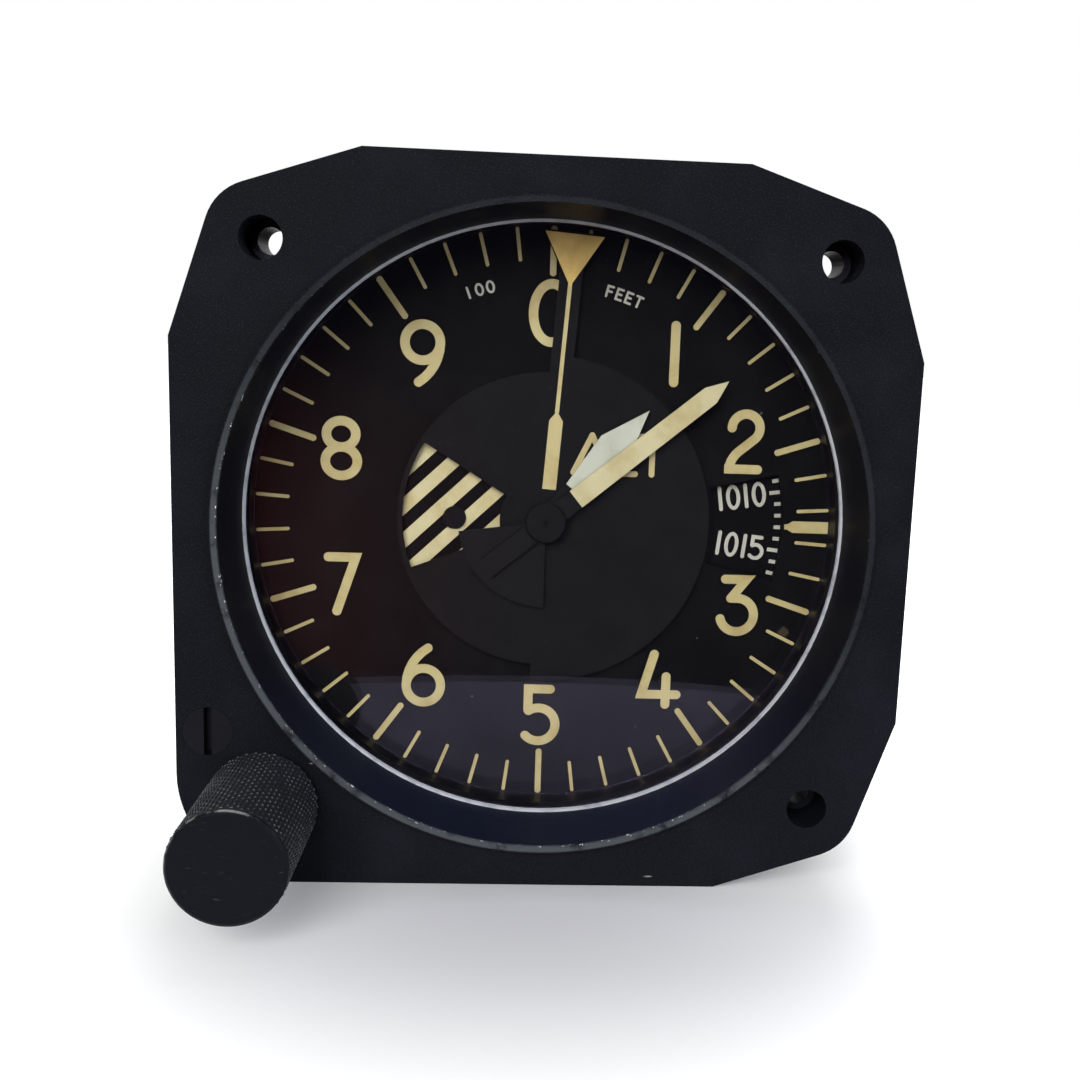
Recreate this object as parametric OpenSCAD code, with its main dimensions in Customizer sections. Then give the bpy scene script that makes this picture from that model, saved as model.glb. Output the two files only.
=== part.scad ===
// Aircraft altimeter: a three-pointer sensitive altimeter for a 3 1/8 inch panel hole.
// The dial faces -Y, +Z is up and +X is to the right of someone reading it.
// The origin is on the dial axis, in the plane of the flange face that meets the panel.
// Clock angles are measured clockwise from 12 o'clock, as the reader sees them.

/* [Flange] */
// Width and height of the square flange
flange_w = 82.55; // [82:0.05:90]
// Thickness of the flange
flange_t = 6.4; // [5:0.1:7]
// Diameter of the circle through the four corner stations
bolt_circle_d = 88.9; // [88:0.1:92]
// Diameter of the clearance part of each mounting hole
mount_hole_d = 4.7; // [4:0.1:5]
// Radius of the round lug at each mounting hole
lug_r = 6; // [5:0.1:6.5]
// Distance from the middle of an edge to where its facet starts
facet_start = 20.8; // [19:0.1:22]
// Radius of the plain corner behind the knob
knob_corner_r = 13; // [11:0.5:15]
// Height of the raised rim round the window
rim_h = 0.6; // [0.3:0.1:1]
// Outer radius of the raised rim
rim_r = 37.2; // [37:0.1:38]

/* [Window] */
// Radius of the sloping wall at its front edge
throat_front_r = 36.4; // [36:0.1:36.8]
// Radius of the sloping wall where it meets the glass seal
throat_rear_r = 35.3; // [35:0.1:35.8]
// Depth of the glass seal behind the flange face
seal_depth = 7.6; // [7:0.1:8.5]
// Thickness of the cover glass
glass_t = 2.2; // [1.8:0.1:2.5]
// Radius of the cover glass
glass_r = 37.2; // [36.8:0.1:37.4]
// Space between the back of the glass and the dial
dial_room = 3.2; // [3.1:0.1:4]

/* [Dial] */
// Radius of the dial plate
dial_r = 36.6; // [36.4:0.1:36.8]
// Thickness of the dial plate
dial_t = 0.8; // [0.6:0.1:1]
// Outer radius of the scale marks
mark_outer_r = 35; // [34:0.1:35]
// Length of a numbered mark
major_len = 5.8; // [5:0.1:6.5]
// Length of a plain mark
minor_len = 4; // [3:0.1:4.5]
// Width of a numbered mark
major_w = 0.75; // [0.6:0.05:1]
// Width of a plain mark
minor_w = 0.42; // [0.3:0.02:0.6]
// Thickness of the raised paint of the marks
paint_t = 0.05; // [0.03:0.01:0.1]
// Inner radius of the pressure window
baro_in_r = 20.6; // [20:0.1:21]
// Outer radius of the pressure window
baro_out_r = 29.2; // [28.8:0.1:29.6]
// Angle that the pressure window spans
baro_span = 26.6; // [24:0.1:28]

/* [Reading] */
// Altitude shown, in feet
shown_altitude = 1140; // [0:20:3000]
// Pressure shown, in millibars
shown_mb = 1013; // [1000:1:1025]

/* [Pointers] */
// Length of the hundreds pointer from the axis to its tip
hundreds_len = 27.7; // [25:0.1:29]
// Width of the hundreds pointer near the axis
hundreds_w = 2.5; // [2:0.1:3]
// Length of the thousands pointer from the axis to its tip
thousands_len = 18.3; // [16:0.1:20]
// Greatest width of the thousands pointer
thousands_w = 4.4; // [3.5:0.1:5]
// Radius of the ten thousands disc on its larger half
disc_r = 20; // [18.5:0.1:20.3]
// Radius of the ten thousands disc on its smaller half
disc_small_r = 17.95; // [17.7:0.05:18.2]
// Radius at which the triangle of the ten thousands pointer ends
triangle_r = 34.2; // [32:0.1:34.6]
// Thickness of the pointer sheet
pointer_t = 0.3; // [0.25:0.01:0.35]
// Radius of the cap on the pointer shaft
cap_r = 2.5; // [2:0.1:3]

/* [Knob] */
// Diameter of the setting knob
knob_d = 12.7; // [11:0.1:14]
// Length of the setting knob
knob_len = 18; // [14:0.5:20]
// Gap between the knob and the flange
knob_gap = 1.1; // [0.8:0.1:2]
// Radius of the knob shaft
knob_shaft_r = 1.6; // [1.4:0.05:1.8]

/* [Case] */
// Wall of the round housing behind the flange
housing_wall = 1.9; // [1.6:0.1:2.2]
// Outer radius of the rear case
case_r = 39.4; // [39:0.1:39.7]
// Wall of the rear case
case_wall = 2; // [1.6:0.1:2.4]
// Room between the movement and the back of the case
rear_room = 4; // [2:0.5:20]
// Thickness of the collar that bolts the case to the housing
collar_t = 3.2; // [3:0.1:4]

/* [Movement] */
// Thickness of the front movement plate
front_plate_t = 2; // [1.8:0.1:2.4]
// Thickness of the rear movement plate
rear_plate_t = 2; // [1.5:0.1:2.4]
// Width of a gear's teeth along the axis
gear_t = 0.8; // [0.6:0.05:0.9]
// Distance between neighbouring gear layers
layer_pitch = 1.6; // [1.5:0.05:1.8]
// Radius of the aneroid capsules
capsule_r = 20; // [18:0.5:20.5]
// Number of capsules in the stack
capsule_count = 3; // [2:1:3]
// Thickness of one capsule
capsule_t = 4.6; // [4:0.1:4.8]

/* [Hidden] */
$fn = 96;

// Fits and small allowances
cut = 1;               // overrun of every cut
fit_gap = 0.05;        // radial running clearance of shafts and turning rings
seat_gap = 0.03;       // radial gap of parts that are assembled and stay put
air_gap = 0.4;         // least gap between faces that move past each other
lap_len = 0.5;         // how far joined shapes reach into each other

// Places along the axis, from the front to the back
station = bolt_circle_d / 2 / sqrt(2);
half_w = flange_w / 2;
seal_t = 0.6;
glass_y = seal_depth + seal_t;
glass_back = glass_y + glass_t;
dial_y = glass_back + dial_room;
dial_back = dial_y + dial_t;
ring_t = 1;
ring_y = dial_back + air_gap;
plate_y = ring_y + ring_t + air_gap;
plate_back = plate_y + front_plate_t;
lock_t = 1.5;
lock_sunk = 0.3;
housing_back = plate_back + lock_t + lock_sunk;
gasket_t = 0.3;
collar_y = housing_back + gasket_t;
collar_back = collar_y + collar_t;
first_layer = plate_back + gear_t + air_gap;
function layer_y(n) = first_layer + (n - 1) * layer_pitch;
rear_plate_y = layer_y(6) + gear_t + layer_pitch;
rear_plate_back = rear_plate_y + rear_plate_t;

// Shaft radii of the pointer stack
shaft_r = 0.6;
sleeve_2_in = shaft_r + fit_gap;
sleeve_2_out = 1.15;
sleeve_3_in = sleeve_2_out + fit_gap;
sleeve_3_out = 1.75;
bush_in = sleeve_3_out + fit_gap;
bush_out = 3.2;

// Sheets of the pointers, each in front of the one before
disc_t = 0.4;
disc_gap = 0.6;
pointer_gap = 0.3;
disc_back = dial_y - disc_gap;
disc_y = disc_back - disc_t;
thousands_back = disc_y - air_gap;
thousands_y = thousands_back - pointer_t;
hundreds_back = thousands_y - pointer_gap;
hundreds_y = hundreds_back - pointer_t;
cap_t = 0.4;
hub_wall = 1.1;

// Gearing of the pointers: two equal steps of ten to one, then the drive of the first shaft
step_pinion_z = 12;
step_wheel_z = 40;
step_small_z = 15;
step_large_z = 45;
step_dist = 11.7;
step_module = 2 * step_dist / (step_pinion_z + step_wheel_z);
small_module = 2 * step_dist / (step_small_z + step_large_z);
drive_pinion_z = 10;
drive_wheel_z = 120;
sector_z = 160;
drive_dist = 16.25;
drive_module = 2 * drive_dist / (drive_pinion_z + drive_wheel_z);
sector_dist = drive_module * (drive_pinion_z + sector_z) / 2;
arbor_r = 0.6;
arbor_hub_r = 1.1;
step_1_clock = 0;
step_2_clock = 75;
rocking_clock = 135;
rocking_dist = 12.73;
rocking_r = 1;

// Law of cosines in the triangle axis, rocking shaft, intermediate arbor
rocking_turn = acos((pow(rocking_dist, 2) + pow(drive_dist, 2) - pow(sector_dist, 2))
    / (2 * rocking_dist * drive_dist));
drive_clock = rocking_clock + rocking_turn;

function on_clock(r, a) = [r * sin(a), r * cos(a)];
step_1 = on_clock(step_dist, step_1_clock);
step_2 = on_clock(step_dist, step_2_clock);
drive_at = on_clock(drive_dist, drive_clock);
rocking_at = on_clock(rocking_dist, rocking_clock);

// Pressure scale: a ring gear turned by the pinion on the knob shaft
baro_ring_z = 152;
baro_pinion_z = 26;
baro_module = bolt_circle_d / (baro_ring_z + baro_pinion_z);
baro_pitch_r = baro_module * baro_ring_z / 2;
baro_pinion_pitch_r = baro_module * baro_pinion_z / 2;
baro_deg = 2.9;         // turn of the scale for one millibar
baro_centre_clock = 90.5;
hub_spigot_r = 18.4;
knob_at = [-station, -station];

// Angles of the pointers at the shown altitude
hundreds_clock = shown_altitude % 1000 / 1000 * 360;
thousands_clock = shown_altitude / 10000 * 360;
ten_thousands_clock = shown_altitude / 100000 * 360;

// Altitude range, and the turn of the sector over it
lowest_altitude = -1000;
highest_altitude = 20000;
sector_ratio = drive_pinion_z / drive_wheel_z * drive_pinion_z / sector_z;
sector_travel = (highest_altitude - lowest_altitude) / 1000 * 360 * sector_ratio;
sector_used = (shown_altitude - lowest_altitude) / 1000 * 360 * sector_ratio;
sector_spare = 4.5;

// Housing
tip_room = 0.45;
cavity_r = baro_pitch_r + baro_module + tip_room;
housing_r = cavity_r + housing_wall;
pocket_r = glass_r + 2 * fit_gap;
pinion_room = 0.2;
pinion_pocket_r = baro_pinion_pitch_r + baro_module + pinion_room;
boss_wall = 1.25;
boss_r = pinion_pocket_r + boss_wall;
ear_r = 2.6;
ear_out = 2.4;
ear_dist = housing_r + ear_out;
ear_clock = 28;
ears = [for (k = [0:3]) on_clock(ear_dist, ear_clock + 90 * k)];
inserts = [[-station, station], [station, station], [station, -station]];
insert_r = mount_hole_d / 2;
insert_bore_r = 1.5;
insert_lead = 0.4;
insert_front = flange_t - insert_lead;
insert_back = 12;
insert_wall = 1.8;
insert_boss_r = insert_r + insert_wall;
lock_place_shares = [-0.9134, -0.5645];
lock_at = half_w * lock_place_shares;
lock_r = 2.8;
lock_slot_w = 0.9;
lock_slot_h = 1.2;
lock_len = 5.4;
lock_shank_r = 1.4;
case_in_r = case_r - case_wall;
back_wall = 2.5;
port_up = 20;

// Puts a flat shape, drawn as the reader sees it, between two planes of the axis
module slab(y0, y1) {
    translate([0, y1, 0]) rotate([90, 0, 0]) linear_extrude(y1 - y0) children();
}

// A disc or rod along the axis
module rod(r, y0, y1, at = [0, 0]) {
    translate([at[0], y0, at[1]]) rotate([-90, 0, 0]) cylinder(r = r, h = y1 - y0);
}

// A tube along the axis
module tube(ro, ri, y0, y1, at = [0, 0]) {
    difference() {
        rod(ro, y0, y1, at);
        rod(ri, y0 - cut, y1 + cut, at);
    }
}

// A turned shape: points are [radius, place along the axis]
module turned(points, at = [0, 0]) {
    translate([at[0], 0, at[1]]) rotate([-90, 0, 0]) rotate_extrude() polygon(points);
}

// A sector of a circle between two clock angles, as a polygon that reaches past radius r
module wedge(r, a0, a1) {
    n = ceil((a1 - a0) / 40);
    polygon(concat([[0, 0]], [for (k = [0:n]) on_clock(2 * r, a0 + (a1 - a0) * k / n)]));
}

module ring_sector(ro, ri, a0, a1) {
    intersection() {
        difference() {
            circle(ro);
            circle(ri);
        }
        wedge(ro, a0, a1);
    }
}

// Involute of an angle in degrees
function involute(a) = tan(a) * 180 / PI - a;

// Outline of a gear. The teeth are counted from the clock angle first, and a part of a
// gear, such as a sector, has its teeth numbered from and to.
pressure_angle = 20;
backlash_share = 0.12;
addendum_share = 0.9;
dedendum_share = 1.25;
straight_flank_z = 50;   // from this number of teeth a flank is drawn straight
function half_tooth(z, m, r) =
    let (pitch_r = z * m / 2,
        base_r = pitch_r * cos(pressure_angle),
        at = max(r, base_r),
        thin = backlash_share * m / pitch_r * 180 / PI / 2)
    90 / z - thin + involute(pressure_angle) - involute(acos(base_r / at));
function tooth(z, m, c) =
    let (pitch_r = z * m / 2,
        tip = pitch_r + addendum_share * m,
        root = pitch_r - dedendum_share * m,
        mid = pitch_r)
    z < straight_flank_z ? [
        on_clock(root, c - half_tooth(z, m, root)), on_clock(mid, c - half_tooth(z, m, mid)),
        on_clock(tip, c - half_tooth(z, m, tip)), on_clock(tip, c + half_tooth(z, m, tip)),
        on_clock(mid, c + half_tooth(z, m, mid)), on_clock(root, c + half_tooth(z, m, root))]
    : [
        on_clock(root, c - half_tooth(z, m, root)), on_clock(tip, c - half_tooth(z, m, tip)),
        on_clock(tip, c + half_tooth(z, m, tip)), on_clock(root, c + half_tooth(z, m, root))];
module gear_outline(z, m, first = 0, from = 0, to = -1) {
    last = to < 0 ? z - 1 : to;
    polygon([for (k = [from:last]) each tooth(z, m, first + 360 / z * k)]);
}

// Clock angle of the first tooth of a gear that meshes with a gear of z0 teeth, whose
// first tooth is at first0. The second gear lies at clock angle toward from the first.
function mesh(z0, first0, toward, z1) =
    toward + 180 + 180 / z1 - (first0 - toward) * z0 / z1;

module gear(z, m, y, at, first) {
    slab(y, y + gear_t) translate(at) gear_outline(z, m, first);
}

// Phases of the train, from the hundreds shaft outwards
phase_step_pinion = 0;
phase_1_wheel = mesh(step_pinion_z, phase_step_pinion, step_1_clock, step_wheel_z);
phase_1_small = 0;
phase_thousands = mesh(step_small_z, phase_1_small, step_1_clock + 180, step_large_z);
phase_2_wheel = mesh(step_pinion_z, 0, step_2_clock, step_wheel_z);
phase_2_small = 0;
phase_ten = mesh(step_small_z, phase_2_small, step_2_clock + 180, step_large_z);
phase_drive_wheel = mesh(drive_pinion_z, 0, drive_clock, drive_wheel_z);
to_sector = atan2(rocking_at[0] - drive_at[0], rocking_at[1] - drive_at[1]);
phase_sector = mesh(drive_pinion_z, 0, to_sector, sector_z);
phase_baro_ring = mesh(baro_pinion_z, 0, 45, baro_ring_z);

// Outline of the flange: facets that meet the round lugs, and a plain corner at the knob
facet_reach = norm([station - facet_start, half_w - station]);
facet_turn = asin(lug_r / facet_reach) - atan2(half_w - station, station - facet_start);
facet_len = sqrt(pow(facet_reach, 2) - pow(lug_r, 2));
facet_end = [facet_start + facet_len * cos(facet_turn), half_w + facet_len * sin(facet_turn)];
module faceted_corner() {
    polygon([[0, 0], [0, half_w], [facet_start, half_w], facet_end, [station, station],
        [facet_end[1], facet_end[0]], [half_w, facet_start], [half_w, 0]]);
    translate([station, station]) circle(lug_r);
}
module flange_outline() {
    union() {
        faceted_corner();
        mirror([1, 0]) faceted_corner();
        mirror([0, 1]) faceted_corner();
        side = half_w - knob_corner_r;
        polygon([[-half_w, 0], [-half_w, -side], [-side, -side], [-side, -half_w], [0, -half_w],
            [0, 0]]);
        translate([-side, -side]) circle(knob_corner_r);
    }
}

// Outline of the round housing with its screw ears and the boss of the knob
module housing_outline() {
    circle(housing_r);
    translate(knob_at) circle(boss_r);
    for (ear = ears) {
        translate(ear) circle(ear_r);
    }
}

module bezel_flange() color([0.11, 0.12, 0.14]) {
    difference() {
        union() {
            slab(0, flange_t) flange_outline();
            slab(flange_t - lap_len, housing_back) housing_outline();
            rod(rim_r, -rim_h, lap_len);
            for (at = inserts) rod(insert_boss_r, flange_t - lap_len, insert_back, at);
        }
        turned([[0, -rim_h - cut], [throat_front_r, -rim_h - cut], [throat_front_r, -rim_h],
            [throat_rear_r, seal_depth], [pocket_r, seal_depth], [pocket_r, dial_back],
            [cavity_r, dial_back], [cavity_r, housing_back + cut], [0, housing_back + cut]]);
        rod(pinion_pocket_r, dial_back, housing_back + cut, knob_at);
        rod(knob_bush_r, -cut, housing_back, knob_at);
        for (at = inserts) rod(insert_r, -cut, insert_back + cut, at);
        for (at = ears) rod(case_screw_r, flange_t, housing_back + cut, at);
        rod(lock_r + seat_gap, -cut, lock_head_t, lock_at);
        rod(lock_shank_r + seat_gap, 0, lock_len + seat_gap, lock_at);
    }
}
lock_head_t = 2.4;

// Threaded bushes in the back of the three mounting holes
module mounting_inserts() color([0.62, 0.60, 0.55]) {
    for (at = inserts) tube(insert_r - seat_gap, insert_bore_r, insert_front, insert_back, at);
}

// Flush slotted screw beside the knob, which frees the knob for resetting
module knob_lock_screw() color([0.12, 0.12, 0.13]) {
    difference() {
        union() {
            rod(lock_r, 0, lock_head_t, lock_at);
            rod(lock_shank_r, 0, lock_len, lock_at);
        }
        translate([lock_at[0], 0, lock_at[1]])
            cube([lock_slot_w, 2 * lock_slot_h, 2 * lock_r + cut], center = true);
    }
}

module glass_seal() color([0.62, 0.64, 0.66]) {
    tube(glass_r, throat_rear_r - lip_in, seal_depth, glass_y);
}
lip_in = 0.3;

glass_chamfer = 0.4;
module cover_glass() color([0.85, 0.9, 0.92, 0.3]) {
    turned([[0, glass_y], [glass_r - glass_chamfer, glass_y], [glass_r, glass_y + glass_chamfer],
        [glass_r, glass_back - glass_chamfer], [glass_r - glass_chamfer, glass_back], [0, glass_back]]);
}

// Ring that holds the glass forward and keeps the dial at its distance
spacer_step = 0.1;
spacer_in_r = throat_rear_r - lip_in + spacer_step;
module dial_spacer_ring() color([0.08, 0.08, 0.09]) {
    tube(glass_r, spacer_in_r, glass_back, dial_y);
}

// Two screws at 3 and 9 o'clock hold the dial to the movement
dial_screw_r = 0.7;
dial_screw_head_r = 1.4;
dial_screw_head_t = 0.3;
dial_screw_x = 11.1;
dial_screws_at = [[-dial_screw_x, 0], [dial_screw_x, 0]];
dial_hole_room = 0.6;
dial_hole_r = bush_out + dial_hole_room;
module dial_plate() color([0.05, 0.05, 0.06]) {
    difference() {
        rod(dial_r, dial_y, dial_back);
        rod(dial_hole_r, dial_y - cut, dial_back + cut);
        slab(dial_y - cut, dial_back + cut)
            ring_sector(baro_out_r, baro_in_r, baro_centre_clock - baro_span / 2,
                baro_centre_clock + baro_span / 2);
        for (at = dial_screws_at) rod(dial_screw_r + seat_gap, dial_y - cut, dial_back + cut, at);
    }
}

// Raised paint of the altitude scale and of the pressure index
mark_count = 50;
index_w = 1.45;
index_thin_w = 0.65;
index_in_r = 29.9;
end_share = 0.3;
// A mark along the radius, with eased corners
module mark(w, r0, r1) {
    c = end_share * w;
    polygon([[-w / 2, r0 + c], [-w / 2 + c, r0], [w / 2 - c, r0], [w / 2, r0 + c],
        [w / 2, r1 - c], [w / 2 - c, r1], [-w / 2 + c, r1], [-w / 2, r1 - c]]);
}
module dial_marks() color([0.80, 0.72, 0.47]) {
    for (k = [0:mark_count - 1]) {
        major = k % 5 == 0;
        slab(dial_y - paint_t, dial_y) rotate(-360 / mark_count * k)
            mark(major ? major_w : minor_w, mark_outer_r - (major ? major_len : minor_len), mark_outer_r);
    }
    slab(dial_y - paint_t, dial_y)
        polygon([[baro_out_r + index_thin_w / 2, -index_thin_w / 2], [index_in_r, -index_thin_w / 2],
            [index_in_r + index_thin_w, -index_w / 2], [mark_outer_r, -index_w / 2],
            [mark_outer_r, index_w / 2], [index_in_r + index_thin_w, index_w / 2],
            [index_in_r, index_thin_w / 2], [baro_out_r + index_thin_w / 2, index_thin_w / 2]]);
}

module dial_screws() color([0.07, 0.07, 0.08]) {
    for (at = dial_screws_at) {
        difference() {
            union() {
                rod(dial_screw_head_r, dial_y - dial_screw_head_t, dial_y, at);
                rod(dial_screw_r, dial_y - dial_screw_head_t / 2, plate_back, at);
            }
            translate([at[0], dial_y - dial_screw_head_t, at[1]])
                cube([dial_screw_r / 2, dial_screw_head_t, 2 * dial_screw_head_r + cut], center = true);
        }
    }
}

// The ring that carries the pressure figures turns on the spigot of the front plate
module baro_scale_ring() color([0.07, 0.07, 0.08]) {
    difference() {
        slab(ring_y, ring_y + ring_t) gear_outline(baro_ring_z, baro_module, phase_baro_ring);
        rod(hub_spigot_r + fit_gap, ring_y - cut, ring_y + ring_t + cut);
    }
}

// Raised paint on the scale ring: a mark for each millibar, longer at each fifth
baro_low = 946;
baro_high = 1050;
baro_mark_r = 28.8;
baro_mark_w = 0.56;
baro_major_len = 1.5;
baro_minor_len = 1.05;
module baro_scale_marks() color([0.80, 0.72, 0.47]) {
    for (mb = [baro_low:baro_high])
        slab(ring_y - paint_t, ring_y) rotate(-baro_centre_clock - baro_deg * (mb - shown_mb))
            mark(baro_mark_w, baro_mark_r - (mb % 5 == 0 ? baro_major_len : baro_minor_len), baro_mark_r);
}

pivot_r = 0.35;
jewel_r = 1.5;
jewel_t = 0.9;
train_arbors = [step_1, step_2, drive_at];
module movement_front_plate() color([0.66, 0.55, 0.32]) {
    difference() {
        union() {
            rod(cavity_r - 2 * fit_gap, plate_y, plate_back);
            rod(hub_spigot_r, dial_back, plate_y + lap_len);
        }
        rod(bush_out + seat_gap, dial_back - cut, plate_back + cut);
        for (at = dial_screws_at) rod(dial_screw_r + seat_gap, dial_back - cut, plate_back + cut, at);
        for (at = train_arbors) rod(jewel_r + seat_gap, plate_back - jewel_t, plate_back + cut, at);
        rod(rocking_pivot_r + fit_gap, plate_back - rocking_pivot_len, plate_back + cut, rocking_at);
        for (at = pillars_at) rod(pillar_screw_r + seat_gap, plate_back - pillar_tap, plate_back + cut, at);
    }
}
rocking_pivot_r = 0.6;
rocking_pivot_len = 1.2;

// Ring that screws into the housing behind the front plate and clamps glass, dial and plate
lock_ring_in_r = 34.2;
module movement_lock_ring() color([0.35, 0.36, 0.38]) {
    difference() {
        tube(cavity_r - seat_gap, lock_ring_in_r, plate_back, plate_back + lock_t);
        for (k = [0:1]) rotate([0, 90 * k + 45, 0])
            translate([-lock_t / 2, plate_back + lock_t / 2, -cavity_r - cut])
                cube([lock_t, lock_t, 2 * cavity_r + 2 * cut]);
    }
}

bush_collar_r = 4.2;
bush_collar_t = 0.4;
module pointer_bushing() color([0.78, 0.66, 0.35]) {
    difference() {
        union() {
            rod(bush_out, dial_y, plate_back + bush_collar_t / 2);
            rod(bush_collar_r, plate_back, plate_back + bush_collar_t);
        }
        rod(bush_in, dial_y - cut, plate_back + cut);
    }
}

// Hundreds: shaft with the pinion of the first reduction and the driven pinion
module hundreds_shaft() color([0.75, 0.75, 0.77]) {
    rod(shaft_r, hundreds_y - cap_seat, rear_plate_y);
    rod(pivot_r, rear_plate_y - lap_len, rear_plate_y + jewel_t);
    gear(step_pinion_z, step_module, layer_y(4), [0, 0], phase_step_pinion);
    gear(drive_pinion_z, drive_module, layer_y(5), [0, 0], 0);
}
cap_seat = 0.2;

hundreds_tail = 9.3;
hundreds_tip = 2.7;
hundreds_taper = 0.11;
module hundreds_pointer() color([0.85, 0.80, 0.62]) {
    half = hundreds_w / 2;
    end = hundreds_len - hundreds_tip;
    slab(hundreds_y, hundreds_back) rotate(-hundreds_clock) difference() {
        union() {
            polygon([[-half, -hundreds_tail], [half, -hundreds_tail], [half, cap_r],
                [half - hundreds_taper, end], [0, hundreds_len], [-half + hundreds_taper, end],
                [-half, cap_r]]);
            circle(cap_r);
        }
        circle(shaft_r + seat_gap);
    }
}

module hub_cap() color([0.10, 0.10, 0.11]) {
    difference() {
        turned([[0, hundreds_y - cap_t], [cap_r - cap_t / 2, hundreds_y - cap_t],
            [cap_r, hundreds_y - cap_t / 2], [cap_r, hundreds_y], [0, hundreds_y]]);
        rod(shaft_r + seat_gap, hundreds_y - cap_seat, hundreds_y + cut);
    }
}

// Thousands: sleeve with its wheel and the pinion of the second reduction
module thousands_sleeve_gear() color([0.78, 0.66, 0.35]) {
    difference() {
        union() {
            rod(sleeve_2_out, thousands_y, layer_y(3) + gear_t);
            gear(step_pinion_z, step_module, layer_y(2), [0, 0], 0);
            gear(step_large_z, small_module, layer_y(3), [0, 0], phase_thousands);
        }
        rod(sleeve_2_in, thousands_y - cut, layer_y(3) + gear_t + cut);
    }
}

thousands_broad_r = 12.2;
thousands_base_r = 5.2;
thousands_base_w = 2.66;
fan_r = 10.6;
fan_half = 41;
thousands_hub_r = 2.3;
module thousands_pointer() color([0.80, 0.82, 0.72]) {
    base = thousands_base_w / 2;
    slab(thousands_y, thousands_back) rotate(-thousands_clock) difference() {
        union() {
            polygon([[-base, 0], [base, 0], [base, thousands_base_r], [thousands_w / 2, thousands_broad_r],
                [0, thousands_len], [-thousands_w / 2, thousands_broad_r], [-base, thousands_base_r]]);
            circle(thousands_hub_r);
            ring_sector(fan_r, shaft_r, 180 - fan_half, 180 + fan_half);
        }
        circle(sleeve_2_out + seat_gap);
    }
}

// Ten thousands: outer sleeve with its wheel
module ten_thousands_sleeve_gear() color([0.78, 0.66, 0.35]) {
    difference() {
        union() {
            rod(sleeve_3_out, disc_y, layer_y(1) + gear_t);
            gear(step_large_z, small_module, layer_y(1), [0, 0], phase_ten);
        }
        rod(sleeve_3_in, disc_y - cut, layer_y(1) + gear_t + cut);
    }
}

// Disc of two radii with a window, an arm and the triangle at the scale
arm_w = 2.7;
triangle_w = 7;
triangle_apex_r = 28.1;
triangle_edge = 0.2;
window_in_r = 5.6;
window_out_r = 17.35;
window_from = 245;
window_to = 297.5;
disc_hub_r = sleeve_3_out + hub_wall;
module ten_thousands_pointer() color([0.20, 0.20, 0.22]) {
    slab(disc_y, disc_back) rotate(-ten_thousands_clock) difference() {
        union() {
            circle(disc_small_r);
            ring_sector(disc_r, shaft_r, 0, 180);
            translate([-arm_w / 2, 0]) square([arm_w, triangle_apex_r + arm_w]);
            polygon([[-triangle_w / 2 - triangle_edge, triangle_r + triangle_edge],
                [0, triangle_apex_r - 2 * triangle_edge],
                [triangle_w / 2 + triangle_edge, triangle_r + triangle_edge]]);
        }
        ring_sector(window_out_r, window_in_r, window_from, window_to);
        circle(sleeve_3_out + seat_gap);
    }
    tube(disc_hub_r, sleeve_3_out + seat_gap, disc_back, dial_y - pointer_t);
}

// A wheel and a small pinion on one arbor with a pivot at each end
module arbor_body(at, y_front, y_rear) {
    rod(arbor_r, plate_back + lap_len, rear_plate_y - lap_len, at);
    rod(pivot_r, plate_back - jewel_t + seat_gap, plate_back + 2 * lap_len, at);
    rod(pivot_r, rear_plate_y - 2 * lap_len, rear_plate_y + jewel_t - seat_gap, at);
    rod(arbor_hub_r, y_front, y_rear, at);
}
module reduction_gear_1() color([0.78, 0.66, 0.35]) {
    arbor_body(step_1, layer_y(3), layer_y(4) + gear_t);
    gear(step_wheel_z, step_module, layer_y(4), step_1, phase_1_wheel);
    gear(step_small_z, small_module, layer_y(3), step_1, phase_1_small);
}
module reduction_gear_2() color([0.78, 0.66, 0.35]) {
    arbor_body(step_2, layer_y(1), layer_y(2) + gear_t);
    gear(step_wheel_z, step_module, layer_y(2), step_2, phase_2_wheel);
    gear(step_small_z, small_module, layer_y(1), step_2, phase_2_small);
}
module intermediate_gear() color([0.78, 0.66, 0.35]) {
    arbor_body(drive_at, layer_y(5), layer_y(5) + gear_t);
    difference() {
        gear(drive_wheel_z, drive_module, layer_y(5), drive_at, phase_drive_wheel);
        for (k = [0:spoke_count - 1])
            slab(layer_y(5) - cut, layer_y(5) + gear_t + cut) translate(drive_at)
                ring_sector(drive_rim_r, spoke_hub_r, 360 / spoke_count * k + spoke_half,
                    360 / spoke_count * (k + 1) - spoke_half);
    }
    gear(drive_pinion_z, drive_module, layer_y(6), drive_at, 0);
}
spoke_count = 4;
spoke_half = 8;
spoke_hub_r = 3;
drive_rim_w = 1.6;
drive_rim_r = drive_module * drive_wheel_z / 2 - drive_rim_w;

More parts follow.
